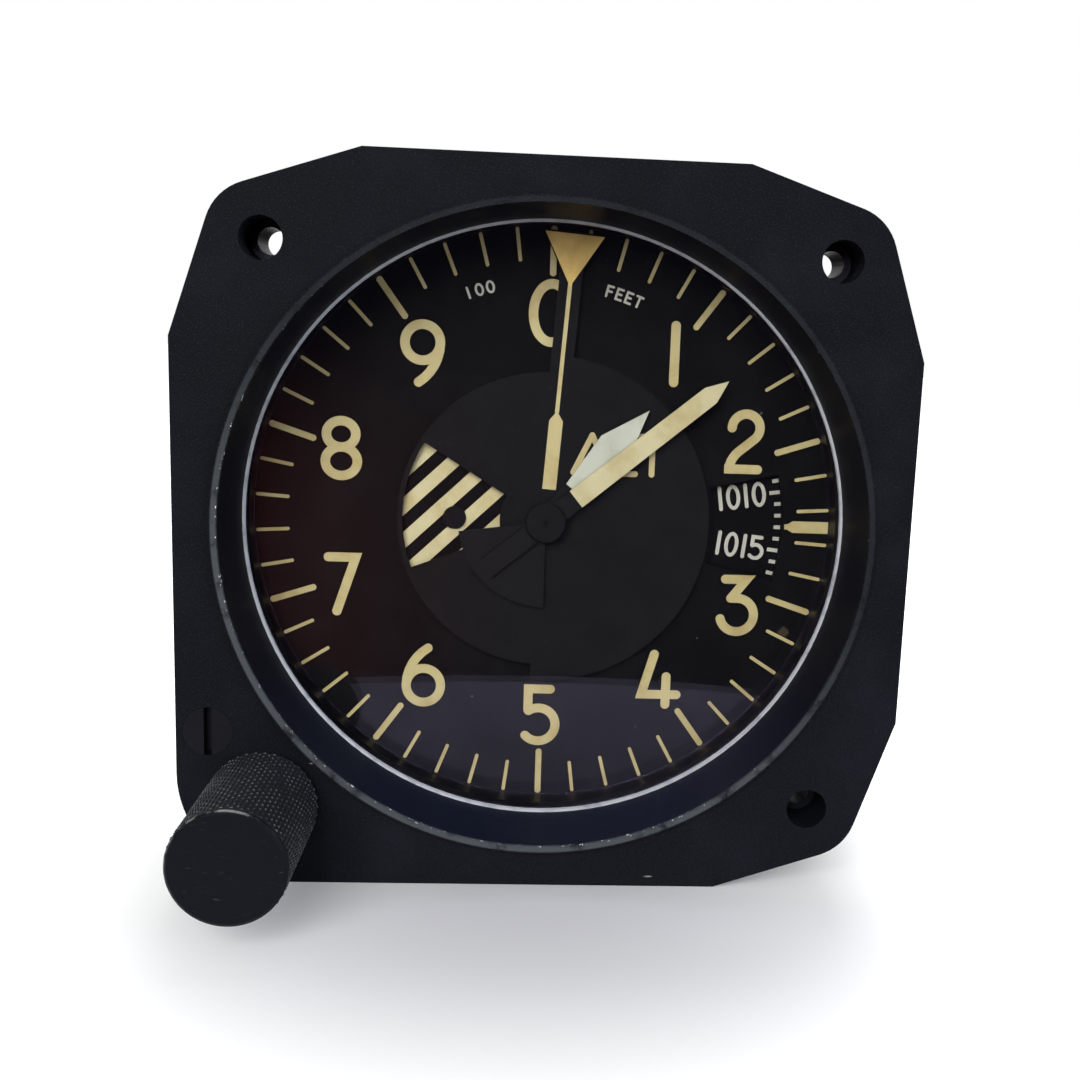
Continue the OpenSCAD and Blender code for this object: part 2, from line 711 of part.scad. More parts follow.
// Rocking shaft: it turns with the sector, and its arm is pushed by the link of the capsules
link_t = 1.6;
capsule_room = 3.2;
capsule_y = rear_plate_back + capsule_r + capsule_room;
arm_len = rocking_dist * sqrt(0.5);
arm_pin_r = 0.5;
bearing_room = 6;
rocking_back = capsule_y + capsule_r + bearing_room;
cross_t = 2.5;
case_depth = rocking_back + cross_t + rear_room + back_wall;
arm_now = sector_used - sector_travel / 2;
arm_pin = [rocking_at[0] + arm_len * sin(arm_now), rocking_at[1] + arm_len * cos(arm_now)];
arm_t = 1.2;
arm_y = capsule_y + link_t / 2 + air_gap;
module rocking_shaft() color([0.72, 0.73, 0.75]) {
    rod(rocking_r, plate_back + lap_len, rocking_back - lap_len, rocking_at);
    rod(rocking_pivot_r, plate_back - rocking_pivot_len + seat_gap, plate_back + 2 * lap_len, rocking_at);
    rod(rocking_pivot_r, rocking_back - 2 * lap_len, rocking_back + rocking_pivot_len - seat_gap, rocking_at);
    slab(arm_y, arm_y + arm_t) {
        translate(rocking_at) circle(2 * rocking_r);
        translate(rocking_at) rotate(-arm_now) translate([-rocking_r, 0]) square([2 * rocking_r, arm_len]);
        translate(arm_pin) circle(rocking_r);
    }
    rod(arm_pin_r, capsule_y - link_t, arm_y + arm_t / 2, arm_pin);
}

sector_hub_r = 2.4;
sector_rim_w = 2;
sector_web = 10;
sector_open = 180;
sector_first = -sector_used - sector_spare;
sector_last = sector_travel - sector_used + sector_spare;
sector_mid = to_sector + 180;
sector_rim_r = drive_module * (sector_z / 2 - dedendum_share);
// The sector hangs on one arm and is open on its other side, where the pointer shaft passes
module sector_gear() color([0.78, 0.66, 0.35]) {
    k0 = ceil((sector_mid + sector_first - phase_sector) / (360 / sector_z));
    k1 = floor((sector_mid + sector_last - phase_sector) / (360 / sector_z));
    a0 = phase_sector + 360 / sector_z * k0;
    difference() {
        slab(layer_y(6), layer_y(6) + gear_t) translate(rocking_at) union() {
            polygon(concat([[0, 0]], [for (k = [k0:k1]) each tooth(sector_z, drive_module,
                phase_sector + 360 / sector_z * k)]));
            circle(sector_hub_r);
        }
        slab(layer_y(6) - cut, layer_y(6) + gear_t + cut) translate(rocking_at)
            ring_sector(sector_rim_r - sector_rim_w, 2 * sector_hub_r, a0 + sector_web, a0 + sector_open);
        rod(rocking_r + seat_gap, layer_y(6) - cut, layer_y(6) + gear_t + cut, rocking_at);
    }
    tube(sector_hub_r, rocking_r + seat_gap, layer_y(6) + gear_t, layer_y(6) + 2 * gear_t, rocking_at);
}

// Brass weight that balances the sector
weight_r = 2.6;
weight_arm = 7;
weight_t = 3;
weight_turn = 195;
weight_clock = sector_mid + weight_turn;
weight_room = 1.6;
weight_y = rear_plate_back + weight_room;
module balance_weight() color([0.80, 0.68, 0.38]) {
    difference() {
        union() {
            slab(weight_y, weight_y + arm_t) union() {
                translate(rocking_at) circle(2 * rocking_r);
                translate(rocking_at) rotate(-weight_clock) translate([-rocking_r, 0])
                    square([2 * rocking_r, weight_arm]);
            }
            rod(weight_r, weight_y, weight_y + weight_t, rocking_at + on_clock(weight_arm, weight_clock));
        }
        rod(rocking_r + seat_gap, weight_y - cut, weight_y + weight_t + cut, rocking_at);
    }
}

// Aneroid capsules: their stack lies across the case, on the left leg of the frame
capsule_gap = 1.2;
leg_x = -27;
leg_t = 2.4;
stack_room = 1.6;
stack_x = leg_x + leg_t + stack_room;
stack_end = stack_x + capsule_count * capsule_t + (capsule_count - 1) * capsule_gap;
stud_r = 1.8;
post_r = 2.2;
post_len = 3.4;
link_r = 0.8;
corrugations = 4;
corrugation_h = 0.35;
capsule_flat = 1.4;
// Section of one half of a capsule, from the centre boss out to the rim
function half_capsule(side) = [for (k = [0:2 * corrugations])
    [post_r + (capsule_r - capsule_flat - post_r) * k / (2 * corrugations),
        side * (capsule_t / 2 - (k % 2) * corrugation_h)]];
module capsule(x) {
    top = half_capsule(1);
    low = half_capsule(-1);
    outline = concat([[0, capsule_t / 2]], top,
        [[capsule_r, capsule_rim_t / 2], [capsule_r, -capsule_rim_t / 2]],
        [for (k = [len(low) - 1:-1:0]) low[k]], [[0, -capsule_t / 2]]);
    translate([x, capsule_y, 0]) rotate([0, 90, 0]) rotate_extrude() polygon(outline);
}
capsule_rim_t = 0.6;
module across(r, x0, x1, y = capsule_y, z = 0) {
    translate([x0, y, z]) rotate([0, 90, 0]) cylinder(r = r, h = x1 - x0);
}
module aneroid_capsules() color([0.72, 0.62, 0.42]) {
    difference() {
        union() {
            for (k = [0:capsule_count - 1])
                capsule(stack_x + capsule_t / 2 + k * (capsule_t + capsule_gap));
            across(post_r, stack_x, stack_end + post_len);
            across(stud_r, leg_x - nut_t - leg_t / 2, stack_x + lap_len);
            across(2 * stud_r, leg_x + leg_t, stack_x + lap_len);
        }
        across(link_r + link_sway + 2 * fit_gap, link_x - link_back - air_gap, stack_end + post_len + cut);
    }
}
nut_t = 1.8;
nut_r = 3.4;
module capsule_nut() color([0.70, 0.70, 0.72]) {
    difference() {
        translate([leg_x - nut_t, capsule_y, 0]) rotate([0, 90, 0]) cylinder(r = nut_r, h = nut_t, $fn = 6);
        across(stud_r + seat_gap, leg_x - nut_t - cut, leg_x + cut);
    }
}

// Link between the capsules and the arm: its eye turns on the pin of the arm, and its rod
// lies in the bore of the capsules, where it sways a little as the arm swings
link_eye_r = 1.4;
link_hold = 1.2;       // least length of the rod in its bore
arm_limit = sector_travel / 2;
link_out = arm_len * (sin(arm_limit) - sin(arm_now));
link_back = arm_len * (sin(arm_limit) + sin(arm_now));
link_x = stack_end + post_len - link_hold - link_out;
link_up = arm_len * (1 - cos(arm_now));
link_down = arm_len * (cos(arm_now) - cos(arm_limit));
link_sway = (link_up + link_down) / 2;
link_z = (link_down - link_up) / 2;
module capsule_link() color([0.75, 0.75, 0.77]) {
    difference() {
        union() {
            across(link_r, link_x, arm_pin[0] - link_eye_r / 2, capsule_y, link_z);
            rod(link_eye_r, capsule_y - link_t / 2, capsule_y + link_t / 2, arm_pin);
        }
        rod(arm_pin_r + fit_gap, capsule_y - link_t, capsule_y + link_t, arm_pin);
    }
}

// Cast frame behind the rear plate: two legs and a cross plate with the rear bearing
leg_right_x = 20;
leg_low = -14;
leg_high = 8;
foot_t = 2;
foot_w = 5.6;
frame_screw_r = 1;
frame_screw_head_r = 1.9;
frame_screw_head_t = 1.2;
foot_screw_in = 3.5;
foot_left_x = leg_x - foot_w;
foot_right_x = leg_right_x + leg_t;
feet = [for (x = [foot_left_x + foot_w / 2, foot_right_x + foot_w / 2],
    z = [leg_low + foot_screw_in, leg_high - foot_screw_in]) [x, z]];
module capsule_frame() color([0.60, 0.60, 0.58]) {
    h = leg_high - leg_low;
    difference() {
        union() {
            for (x = [leg_x, leg_right_x]) translate([x, rear_plate_back, leg_low])
                cube([leg_t, rocking_back - rear_plate_back + lap_len, h]);
            translate([leg_x, rocking_back, leg_low])
                cube([leg_right_x + leg_t - leg_x, cross_t, h]);
            translate([foot_left_x, rear_plate_back, leg_low]) cube([foot_w + lap_len, foot_t, h]);
            translate([foot_right_x - lap_len, rear_plate_back, leg_low]) cube([foot_w + lap_len, foot_t, h]);
        }
        across(stud_r + seat_gap, leg_x - cut, leg_x + leg_t + cut);
        rod(rocking_pivot_r + fit_gap, rocking_back - cut, rocking_back + rocking_pivot_len, rocking_at);
        for (at = feet)
            rod(frame_screw_r + seat_gap, rear_plate_back - cut, rear_plate_back + foot_t + cut, at);
        translate([leg_right_x - cut, capsule_y - window_l / 2, leg_low + window_h / 2])
            cube([leg_t + 2 * cut, window_l, window_h]);
    }
}
window_l = 24;
window_h = 11;
frame_screw_len = 1.4;
module frame_screws() color([0.70, 0.70, 0.72]) {
    y = rear_plate_back + foot_t;
    for (at = feet) difference() {
        union() {
            rod(frame_screw_r, y - foot_t - frame_screw_len, y + lap_len, at);
            rod(frame_screw_head_r, y, y + frame_screw_head_t, at);
        }
        translate([at[0], y + frame_screw_head_t, at[1]])
            cube([frame_screw_r / 2, frame_screw_head_t, 2 * frame_screw_head_r + cut], center = true);
    }
}

pillar_dist = 30;
pillar_clocks = [35, 128, 178, 300];
pillars_at = [for (a = pillar_clocks) on_clock(pillar_dist, a)];
pillar_r = 1.9;
pillar_screw_r = 0.8;
pillar_tap = 1.6;
rear_plate_edge = 0.4;
rear_plate_r = norm([foot_left_x, leg_low]) + rear_plate_edge;
module movement_rear_plate() color([0.66, 0.55, 0.32]) {
    difference() {
        rod(rear_plate_r, rear_plate_y, rear_plate_back);
        for (at = concat([[0, 0]], train_arbors))
            rod(jewel_r + seat_gap, rear_plate_y - cut, rear_plate_y + jewel_t, at);
        rod(rocking_r + 2 * air_gap, rear_plate_y - cut, rear_plate_back + cut, rocking_at);
        for (at = pillars_at) rod(pillar_screw_r + seat_gap, rear_plate_y - cut, rear_plate_back + cut, at);
        for (at = feet) rod(frame_screw_r + seat_gap, rear_plate_back - frame_screw_len - seat_gap,
            rear_plate_back + cut, at);
    }
}

module movement_pillars() color([0.78, 0.66, 0.35]) {
    for (at = pillars_at) difference() {
        union() {
            rod(pillar_r, plate_back, rear_plate_y, at);
            rod(pillar_screw_r, plate_back - pillar_tap + seat_gap, plate_back + lap_len, at);
        }
        rod(pillar_screw_r + seat_gap, rear_plate_y - pillar_tap - seat_gap, rear_plate_y + cut, at);
    }
}

pillar_head_r = 1.5;
pillar_head_t = 0.9;
module pillar_screws() color([0.70, 0.70, 0.72]) {
    for (at = pillars_at) difference() {
        union() {
            rod(pillar_screw_r, rear_plate_y - pillar_tap, rear_plate_back + lap_len, at);
            rod(pillar_head_r, rear_plate_back, rear_plate_back + pillar_head_t, at);
        }
        translate([at[0], rear_plate_back + pillar_head_t, at[1]])
            cube([pillar_screw_r / 2, pillar_head_t, 2 * pillar_head_r + cut], center = true);
    }
}

module jewel_bearings() color([0.75, 0.15, 0.25]) {
    for (at = train_arbors) tube(jewel_r, pivot_r + fit_gap, plate_back - jewel_t, plate_back, at);
    for (at = concat([[0, 0]], train_arbors))
        tube(jewel_r, pivot_r + fit_gap, rear_plate_y, rear_plate_y + jewel_t, at);
}

// Flat spiral that takes up the play of the gears at the intermediate arbor
spring_turns = 4;
spring_room = 0.3;
spring_in_r = arbor_r + spring_room;
spring_pitch = 0.7;
spring_w = 0.12;
spring_h = 0.5;
spring_steps = 24;
spring_out_r = spring_in_r + spring_turns * spring_pitch;
spring_gap = 0.35;
spring_y = layer_y(6) + gear_t + spring_gap;
function spiral(r0) = [for (k = [0:spring_turns * spring_steps])
    on_clock(r0 + spring_pitch * k / spring_steps, 360 * k / spring_steps)];
module hairspring() color([0.55, 0.58, 0.66]) {
    inner = spiral(spring_in_r);
    outer = spiral(spring_in_r + spring_w);
    slab(spring_y, spring_y + spring_h) translate(drive_at)
        polygon(concat(inner, [for (k = [len(outer) - 1:-1:0]) outer[k]]));
    rod(stud_pin_r, spring_y, rear_plate_y, drive_at + [0, spring_out_r + stud_pin_r]);
}
stud_pin_r = 0.5;

module case_gasket() color([0.16, 0.16, 0.17]) {
    difference() {
        slab(housing_back, collar_y) housing_outline();
        rod(cavity_r, housing_back - cut, collar_y + cut);
        rod(pinion_pocket_r, housing_back - cut, collar_y + cut, knob_at);
        for (at = ears) rod(case_screw_r + seat_gap, housing_back - cut, collar_y + cut, at);
    }
}

// Rear case: one casting with its collar, the round wall and the back
case_screw_r = 1.25;
port_at = [0, port_up];
port_boss_r = 8;
port_boss_h = 3;
port_hole_r = 4.4;
edge_r = 2;
module case_shell() color([0.12, 0.13, 0.15]) {
    difference() {
        union() {
            slab(collar_y, collar_back) housing_outline();
            turned([[0, collar_y], [case_r, collar_y], [case_r, case_depth - edge_r],
                [case_r - edge_r, case_depth], [0, case_depth]]);
            rod(port_boss_r, case_depth - lap_len, case_depth + port_boss_h, port_at);
        }
        rod(case_in_r, collar_y - cut, case_depth - back_wall);
        rod(knob_rear_r + fit_gap, collar_y - cut, collar_y + knob_rear_len, knob_at);
        for (at = ears) rod(case_screw_r + seat_gap, collar_y - cut, collar_back + cut, at);
        rod(port_hole_r + port_wall, case_depth - back_wall - cut, case_depth + port_boss_h + cut, port_at);
    }
}
port_wall = 1.4;
knob_rear_r = 1.2;
knob_rear_len = 2.2;

case_head_r = 2.3;
case_head_t = 1.8;
case_screw_len = 8;
module case_screws() color([0.22, 0.22, 0.23]) {
    for (at = ears) difference() {
        union() {
            rod(case_screw_r, collar_back - case_screw_len, collar_back + lap_len, at);
            rod(case_head_r, collar_back, collar_back + case_head_t, at);
        }
        translate([at[0], collar_back + case_head_t, at[1]])
            cube([case_screw_r / 2, case_head_t, 2 * case_head_r + cut], center = true);
    }
}

// Threaded bush of the static port, screwed into its boss by the hexagon outside
port_len = 8;
port_hex_r = 7.4;
module static_port_fitting() color([0.72, 0.73, 0.75]) {
    out = case_depth + port_boss_h;
    difference() {
        union() {
            rod(port_hole_r + port_wall - seat_gap, case_depth - back_wall, out + lap_len, port_at);
            translate([port_at[0], out, port_at[1]]) rotate([-90, 0, 0])
                cylinder(r = port_hex_r, h = port_len, $fn = 6);
        }
        rod(port_hole_r, case_depth - back_wall - cut, out + port_len + cut, port_at);
    }
}

// Brass bush of the knob shaft, with a groove for its seal
knob_bush_r = 3.4;
seal_groove_y = 2;
seal_groove_len = 1.8;
seal_groove_r = 2.7;
module knob_bushing() color([0.78, 0.66, 0.35]) {
    difference() {
        rod(knob_bush_r - seat_gap, 0, dial_back, knob_at);
        rod(knob_shaft_r + fit_gap, -cut, dial_back + cut, knob_at);
        rod(seal_groove_r, seal_groove_y, seal_groove_y + seal_groove_len, knob_at);
    }
}

module knob_seal() color([0.06, 0.06, 0.06]) {
    cord_r = (seal_groove_r - knob_shaft_r - fit_gap) / 2;
    translate([knob_at[0], seal_groove_y + seal_groove_len / 2, knob_at[1]]) rotate([-90, 0, 0])
        rotate_extrude() translate([knob_shaft_r + fit_gap + cord_r, 0]) circle(cord_r, $fn = 32);
}

// Knob shaft with the pinion of the pressure scale
knob_front = -knob_gap - knob_len;
shaft_depth = 9;
module knob_shaft() color([0.75, 0.75, 0.77]) {
    rod(knob_shaft_r, -knob_gap - shaft_depth, collar_y - air_gap, knob_at);
    rod(knob_rear_r, collar_y - 2 * air_gap, collar_y + knob_rear_len - air_gap, knob_at);
    slab(ring_y, ring_y + ring_t) translate(knob_at) gear_outline(baro_pinion_z, baro_module, 0);
}

knob_chamfer = 0.5;
module setting_knob() color([0.14, 0.15, 0.16]) {
    r = knob_d / 2;
    difference() {
        turned([[0, knob_front], [r - knob_chamfer, knob_front], [r, knob_front + knob_chamfer],
            [r, -knob_gap - knob_chamfer], [r - knob_chamfer, -knob_gap], [0, -knob_gap]], knob_at);
        rod(knob_shaft_r, -knob_gap - shaft_depth, -knob_gap + cut, knob_at);
        translate([knob_at[0], set_screw_y, knob_at[1]]) rotate([0, 180, 0])
            cylinder(r = set_screw_r + seat_gap, h = knob_d);
    }
}
set_screw_r = 1;
set_screw_y = -knob_gap - 4;
set_screw_sunk = 0.6;
module knob_set_screw() color([0.30, 0.30, 0.31]) {
    difference() {
        translate([knob_at[0], set_screw_y, knob_at[1] - knob_d / 2 + set_screw_sunk])
            cylinder(r = set_screw_r, h = knob_d / 2 - set_screw_sunk - knob_shaft_r);
        translate([knob_at[0], set_screw_y, knob_at[1] - knob_d / 2 + set_screw_sunk])
            cylinder(r = set_screw_r / 2, h = 2 * set_screw_r, $fn = 6, center = true);
    }
}

bezel_flange();
mounting_inserts();
knob_lock_screw();
glass_seal();
cover_glass();
dial_spacer_ring();
dial_plate();
dial_marks();
dial_screws();
baro_scale_ring();
baro_scale_marks();
movement_front_plate();
movement_lock_ring();
pointer_bushing();
hundreds_shaft();
hundreds_pointer();
hub_cap();
thousands_sleeve_gear();
thousands_pointer();
ten_thousands_sleeve_gear();
ten_thousands_pointer();
reduction_gear_1();
reduction_gear_2();
intermediate_gear();
rocking_shaft();
sector_gear();
balance_weight();
capsule_link();
aneroid_capsules();
capsule_nut();
capsule_frame();
frame_screws();
movement_rear_plate();
movement_pillars();
pillar_screws();
jewel_bearings();
hairspring();
case_gasket();
case_shell();
case_screws();
static_port_fitting();
knob_bushing();
knob_seal();
knob_shaft();
setting_knob();
knob_set_screw();
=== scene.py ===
import math

import bmesh
import bpy
from mathutils import Matrix, Vector


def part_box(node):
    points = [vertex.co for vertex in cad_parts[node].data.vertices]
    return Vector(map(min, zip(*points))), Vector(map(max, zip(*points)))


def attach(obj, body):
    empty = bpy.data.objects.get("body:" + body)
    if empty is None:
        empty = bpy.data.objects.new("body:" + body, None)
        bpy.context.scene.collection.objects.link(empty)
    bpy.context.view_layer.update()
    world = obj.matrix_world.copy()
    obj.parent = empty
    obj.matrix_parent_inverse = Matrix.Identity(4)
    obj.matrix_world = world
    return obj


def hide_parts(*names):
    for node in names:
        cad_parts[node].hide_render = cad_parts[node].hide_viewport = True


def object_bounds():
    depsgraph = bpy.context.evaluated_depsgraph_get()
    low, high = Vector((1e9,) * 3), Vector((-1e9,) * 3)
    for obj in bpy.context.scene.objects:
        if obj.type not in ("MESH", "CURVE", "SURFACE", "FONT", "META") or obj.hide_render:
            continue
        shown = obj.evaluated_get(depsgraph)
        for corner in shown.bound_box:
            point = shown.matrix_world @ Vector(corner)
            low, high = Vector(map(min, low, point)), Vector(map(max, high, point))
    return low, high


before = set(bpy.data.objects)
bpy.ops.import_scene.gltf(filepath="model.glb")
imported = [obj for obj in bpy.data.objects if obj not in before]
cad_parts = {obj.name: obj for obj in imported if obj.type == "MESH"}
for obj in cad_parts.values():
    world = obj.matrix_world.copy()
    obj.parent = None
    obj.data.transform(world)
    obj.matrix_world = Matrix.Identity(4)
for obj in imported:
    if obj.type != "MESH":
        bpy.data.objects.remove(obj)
cadBox = [list(corner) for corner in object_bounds()]
mm = 0.001
reader = (0, -1, 0)  # towards someone reading the dial
# The glass mirrors more, and its room is dimmer, by this: the same look with less grain
mirrorGain = 4

# What the instrument shows, as it is modelled
reading = {"altitude": 1140, "pressure": 1013}
hundredsClock = reading["altitude"] % 1000 / 1000 * 360
thousandsClock = reading["altitude"] / 10000 * 360
tenThousandsClock = reading["altitude"] / 100000 * 360

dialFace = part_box("dial_plate")[0].y / mm
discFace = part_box("ten_thousands_pointer")[0].y / mm
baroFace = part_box("baro_scale_ring")[0].y / mm
knobBox = [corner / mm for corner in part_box("setting_knob")]
knobCentre = (knobBox[0] + knobBox[1]) / 2


# Small helpers for node materials

def tone(red, green, blue):
    channels = [value / 255 for value in (red, green, blue)]
    linear = [c / 12.92 if c < 0.04045 else ((c + 0.055) / 1.055) ** 2.4 for c in channels]
    return (*linear, 1.0)


class Nodes:
    # Short ways to add and link the nodes of one tree
    def __init__(self, tree):
        self.tree = tree

    def node(self, kind, inputs=None, **settings):
        made = self.tree.nodes.new(kind)
        for key, value in settings.items():
            setattr(made, key, value)
        for key, value in (inputs or {}).items():
            if isinstance(value, bpy.types.NodeSocket):
                self.tree.links.new(value, made.inputs[key])
            else:
                made.inputs[key].default_value = value
        return made

    def math(self, operation, first, second=0.0, clamp=False):
        return self.node("ShaderNodeMath", {0: first, 1: second}, operation=operation,
                         use_clamp=clamp).outputs[0]

    def times(self, first, *others):
        for other in others:
            first = self.math("MULTIPLY", first, other)
        return first

    # 0 below low, 1 above high, smooth between
    def step(self, value, low, high):
        return self.node("ShaderNodeMapRange", {"Value": value, "From Min": low, "From Max": high},
                         interpolation_type="SMOOTHSTEP").outputs["Result"]

    # 1 below low, 0 above high
    def fall(self, value, low, high):
        return self.math("SUBTRACT", 1.0, self.step(value, low, high))

    def axes(self, vector):
        split = self.node("ShaderNodeSeparateXYZ", {0: vector})
        return split.outputs["X"], split.outputs["Y"], split.outputs["Z"]

    # Distance from an axis that runs front to back
    def radius(self, x, z):
        flat = self.node("ShaderNodeCombineXYZ", {"X": x, "Z": z}).outputs["Vector"]
        return self.node("ShaderNodeVectorMath", {0: flat}, operation="LENGTH").outputs["Value"]

    def mix(self, factor, first, second):
        return self.node("ShaderNodeMix", {0: factor, 6: first, 7: second}, data_type="RGBA").outputs[2]

    # 1 / mirrorGain for rays that the glass mirrors, as it's the one perfect mirror, and 1 for all others
    def dimInGlass(self):
        fromGlass = self.node("ShaderNodeLightPath").outputs["Is Singular Ray"]
        return self.spread(fromGlass, 1, 1 / mirrorGain)

    def spread(self, factor, low, high):
        return self.node("ShaderNodeMapRange", {
            "Value": factor, "To Min": low, "To Max": high}).outputs["Result"]


class Finish(Nodes):
    # One material: its node tree and its main shader
    def __init__(self, name, color, roughness, metallic=0.0, specular=0.5):
        self.material = bpy.data.materials.new(name)
        self.material.use_nodes = True
        super().__init__(self.material.node_tree)
        self.shader = self.tree.nodes["Principled BSDF"]
        self.color = tone(*color)
        self.shader.inputs["Base Color"].default_value = self.color
        self.shader.inputs["Roughness"].default_value = roughness
        self.shader.inputs["Metallic"].default_value = metallic
        self.shader.inputs["Specular IOR Level"].default_value = specular

    # Object coordinates in millimetres, turned and stretched as asked
    def place(self, stretch=(1, 1, 1), turn=(0, 0, 0), shift=(0, 0, 0)):
        coords = self.node("ShaderNodeTexCoord").outputs["Object"]
        return self.node("ShaderNodeMapping", {
            "Vector": coords, "Scale": [s / mm for s in stretch],
            "Rotation": [math.radians(t) for t in turn], "Location": shift}).outputs["Vector"]

    def noise(self, vector, scale, detail=4.0, roughness=0.55):
        return self.node("ShaderNodeTexNoise", {
            "Vector": vector, "Scale": scale, "Detail": detail, "Roughness": roughness}).outputs["Fac"]

    def cells(self, vector, scale):
        return self.node("ShaderNodeTexVoronoi", {"Vector": vector, "Scale": scale}).outputs["Distance"]

    def give(self, socket, value):
        self.tree.links.new(value, self.shader.inputs[socket])

    def bump(self, height, depth, strength=1.0):
        self.give("Normal", self.node("ShaderNodeBump", {
            "Height": height, "Distance": depth * mm, "Strength": strength}).outputs["Normal"])


# Finishes of the front

def housingPaint():
    # Matt blue-black paint with a fine sandy skin, worn through at the lip round the window, with a painted
    # highlight at the lip's lower left and a painted sheen at the foot of the window's wall
    look = {"paint": (10, 12, 17), "patch": (16, 18, 24), "wall": (11, 11, 15), "wallFootSheen": (14, 18, 29),
            "lip": (76, 80, 83), "chip": (205, 205, 198), "grit": 0.14, "nicks": 0.4,
            "wallRadius": (36.4, 36.42), "wallDepth": (8.0, 8.5), "foot": (-12.0, -32.0),
            "edgeRadius": (36.42, 36.52), "lipRadius": (36.9, 37.12), "frontDepth": (-0.35, -0.1)}
    finish = Finish("housing_paint", look["paint"], 0.6, specular=0.05)
    where = finish.place()
    x, y, z = finish.axes(where)
    ring = finish.radius(x, z)
    broad = finish.noise(where, 0.09, 5.0)
    fine = finish.noise(where, 5.5, 3.0)
    color = finish.mix(finish.step(broad, 0.42, 0.75), tone(*look["paint"]), tone(*look["patch"]))
    color = finish.mix(finish.times(finish.step(fine, 0.52, 0.75), look["grit"]), color, tone(*look["lip"]))
    slanted = finish.place(stretch=(0.35, 1, 2.2), turn=(0, 52, 0))
    nicks = finish.times(finish.fall(finish.cells(slanted, 0.21), 0.03, 0.055),
                         finish.step(finish.noise(where, 0.13, 2.0), 0.5, 0.56), look["nicks"])
    color = finish.mix(nicks, color, tone(*look["chip"]))
    # The wall of the window is painted bluer at its foot, where it faces the sky: a painted sheen
    wall = finish.times(finish.fall(ring, *look["wallRadius"]), finish.fall(y, *look["wallDepth"]))
    shade = finish.mix(finish.step(z, *look["foot"]), tone(*look["wall"]), tone(*look["wallFootSheen"]))
    color = finish.mix(wall, color, shade)
    # The lip is worn grey and chipped along its edge. Its grey and its chips grow towards the lower left: a
    # painted highlight
    front = finish.fall(y, *look["frontDepth"])
    worn = finish.step(finish.noise(where, 0.35, 6.0, 0.65), 0.26, 0.5)
    lipHighlightSlope = finish.math("ADD", z, finish.times(x, 0.5))
    low = finish.spread(finish.step(lipHighlightSlope, 15.0, -25.0), 0.08, 0.62)
    lip = finish.times(front, finish.fall(ring, *look["lipRadius"]), worn, low)
    color = finish.mix(lip, color, tone(*look["lip"]))
    lowLeftHighlight = finish.step(finish.math("ADD", x, z), 35.0, -45.0)
    bite = finish.math("ADD", finish.noise(where, 1.9, 4.0, 0.7), finish.times(lowLeftHighlight, 0.07))
    chips = finish.times(finish.fall(ring, *look["edgeRadius"]), front, finish.step(bite, 0.675, 0.71))
    finish.give("Base Color", finish.mix(chips, color, tone(*look["chip"])))
    rough = finish.math("SUBTRACT", finish.spread(broad, 0.5, 0.72), finish.times(wall, 0.2))
    finish.give("Roughness", rough)
    finish.bump(fine, 0.035, 0.6)
    return finish.material


def screwBlack():
    finish = Finish("black_steel", (14, 15, 19), 0.5, 0.1, specular=0.1)
    where = finish.place(stretch=(0.6, 1, 3.5), turn=(0, 38, 0))
    scratch = finish.noise(where, 2.4, 6.0, 0.7)
    rubbed = finish.times(finish.step(scratch, 0.6, 0.74), 0.5)
    finish.give("Base Color", finish.mix(rubbed, finish.color, tone(88, 89, 92)))
    finish.give("Roughness", finish.spread(scratch, 0.3, 0.55))
    finish.bump(scratch, 0.02, 0.6)
    return finish.material


def sealGrey():
    finish = Finish("seal_grey", (166, 169, 171), 0.5)
    where = finish.place()
    grime = finish.noise(where, 0.5, 6.0, 0.6)
    finish.give("Base Color", finish.mix(finish.step(grime, 0.45, 0.75), finish.color, tone(128, 130, 136)))
    finish.bump(finish.noise(where, 4.0), 0.02, 0.5)
    return finish.material


def clearGlass():
    # Nearly all light passes, and the rest is a mirror image of the room
    look = {"mirror": (206, 196, 236), "index": 1.25, "smear": (0.8, 1.2)}
    finish = Finish("clear_glass", look["mirror"], 0.0, 1.0)
    smear = finish.noise(finish.place(), 0.12, 5.0, 0.6)
    mirror = finish.node("ShaderNodeFresnel", {"IOR": look["index"]}).outputs[0]
    seen = finish.node("ShaderNodeLightPath").outputs["Is Camera Ray"]
    gain = finish.times(finish.spread(seen, 1, mirrorGain), finish.spread(smear, *look["smear"]))
    finish.give("Alpha", finish.math("MULTIPLY", mirror, gain, True))
    return finish.material


def glossBlack():
    finish = Finish("gloss_black", (9, 9, 10), 0.45, specular=0.2)
    where = finish.place()
    dust = finish.step(finish.noise(where, 3.0, 6.0, 0.7), 0.7, 0.8)
    finish.give("Base Color", finish.mix(finish.times(dust, 0.3), finish.color, tone(90, 90, 92)))
    finish.give("Roughness", finish.spread(finish.noise(where, 0.4), 0.38, 0.55))
    return finish.material


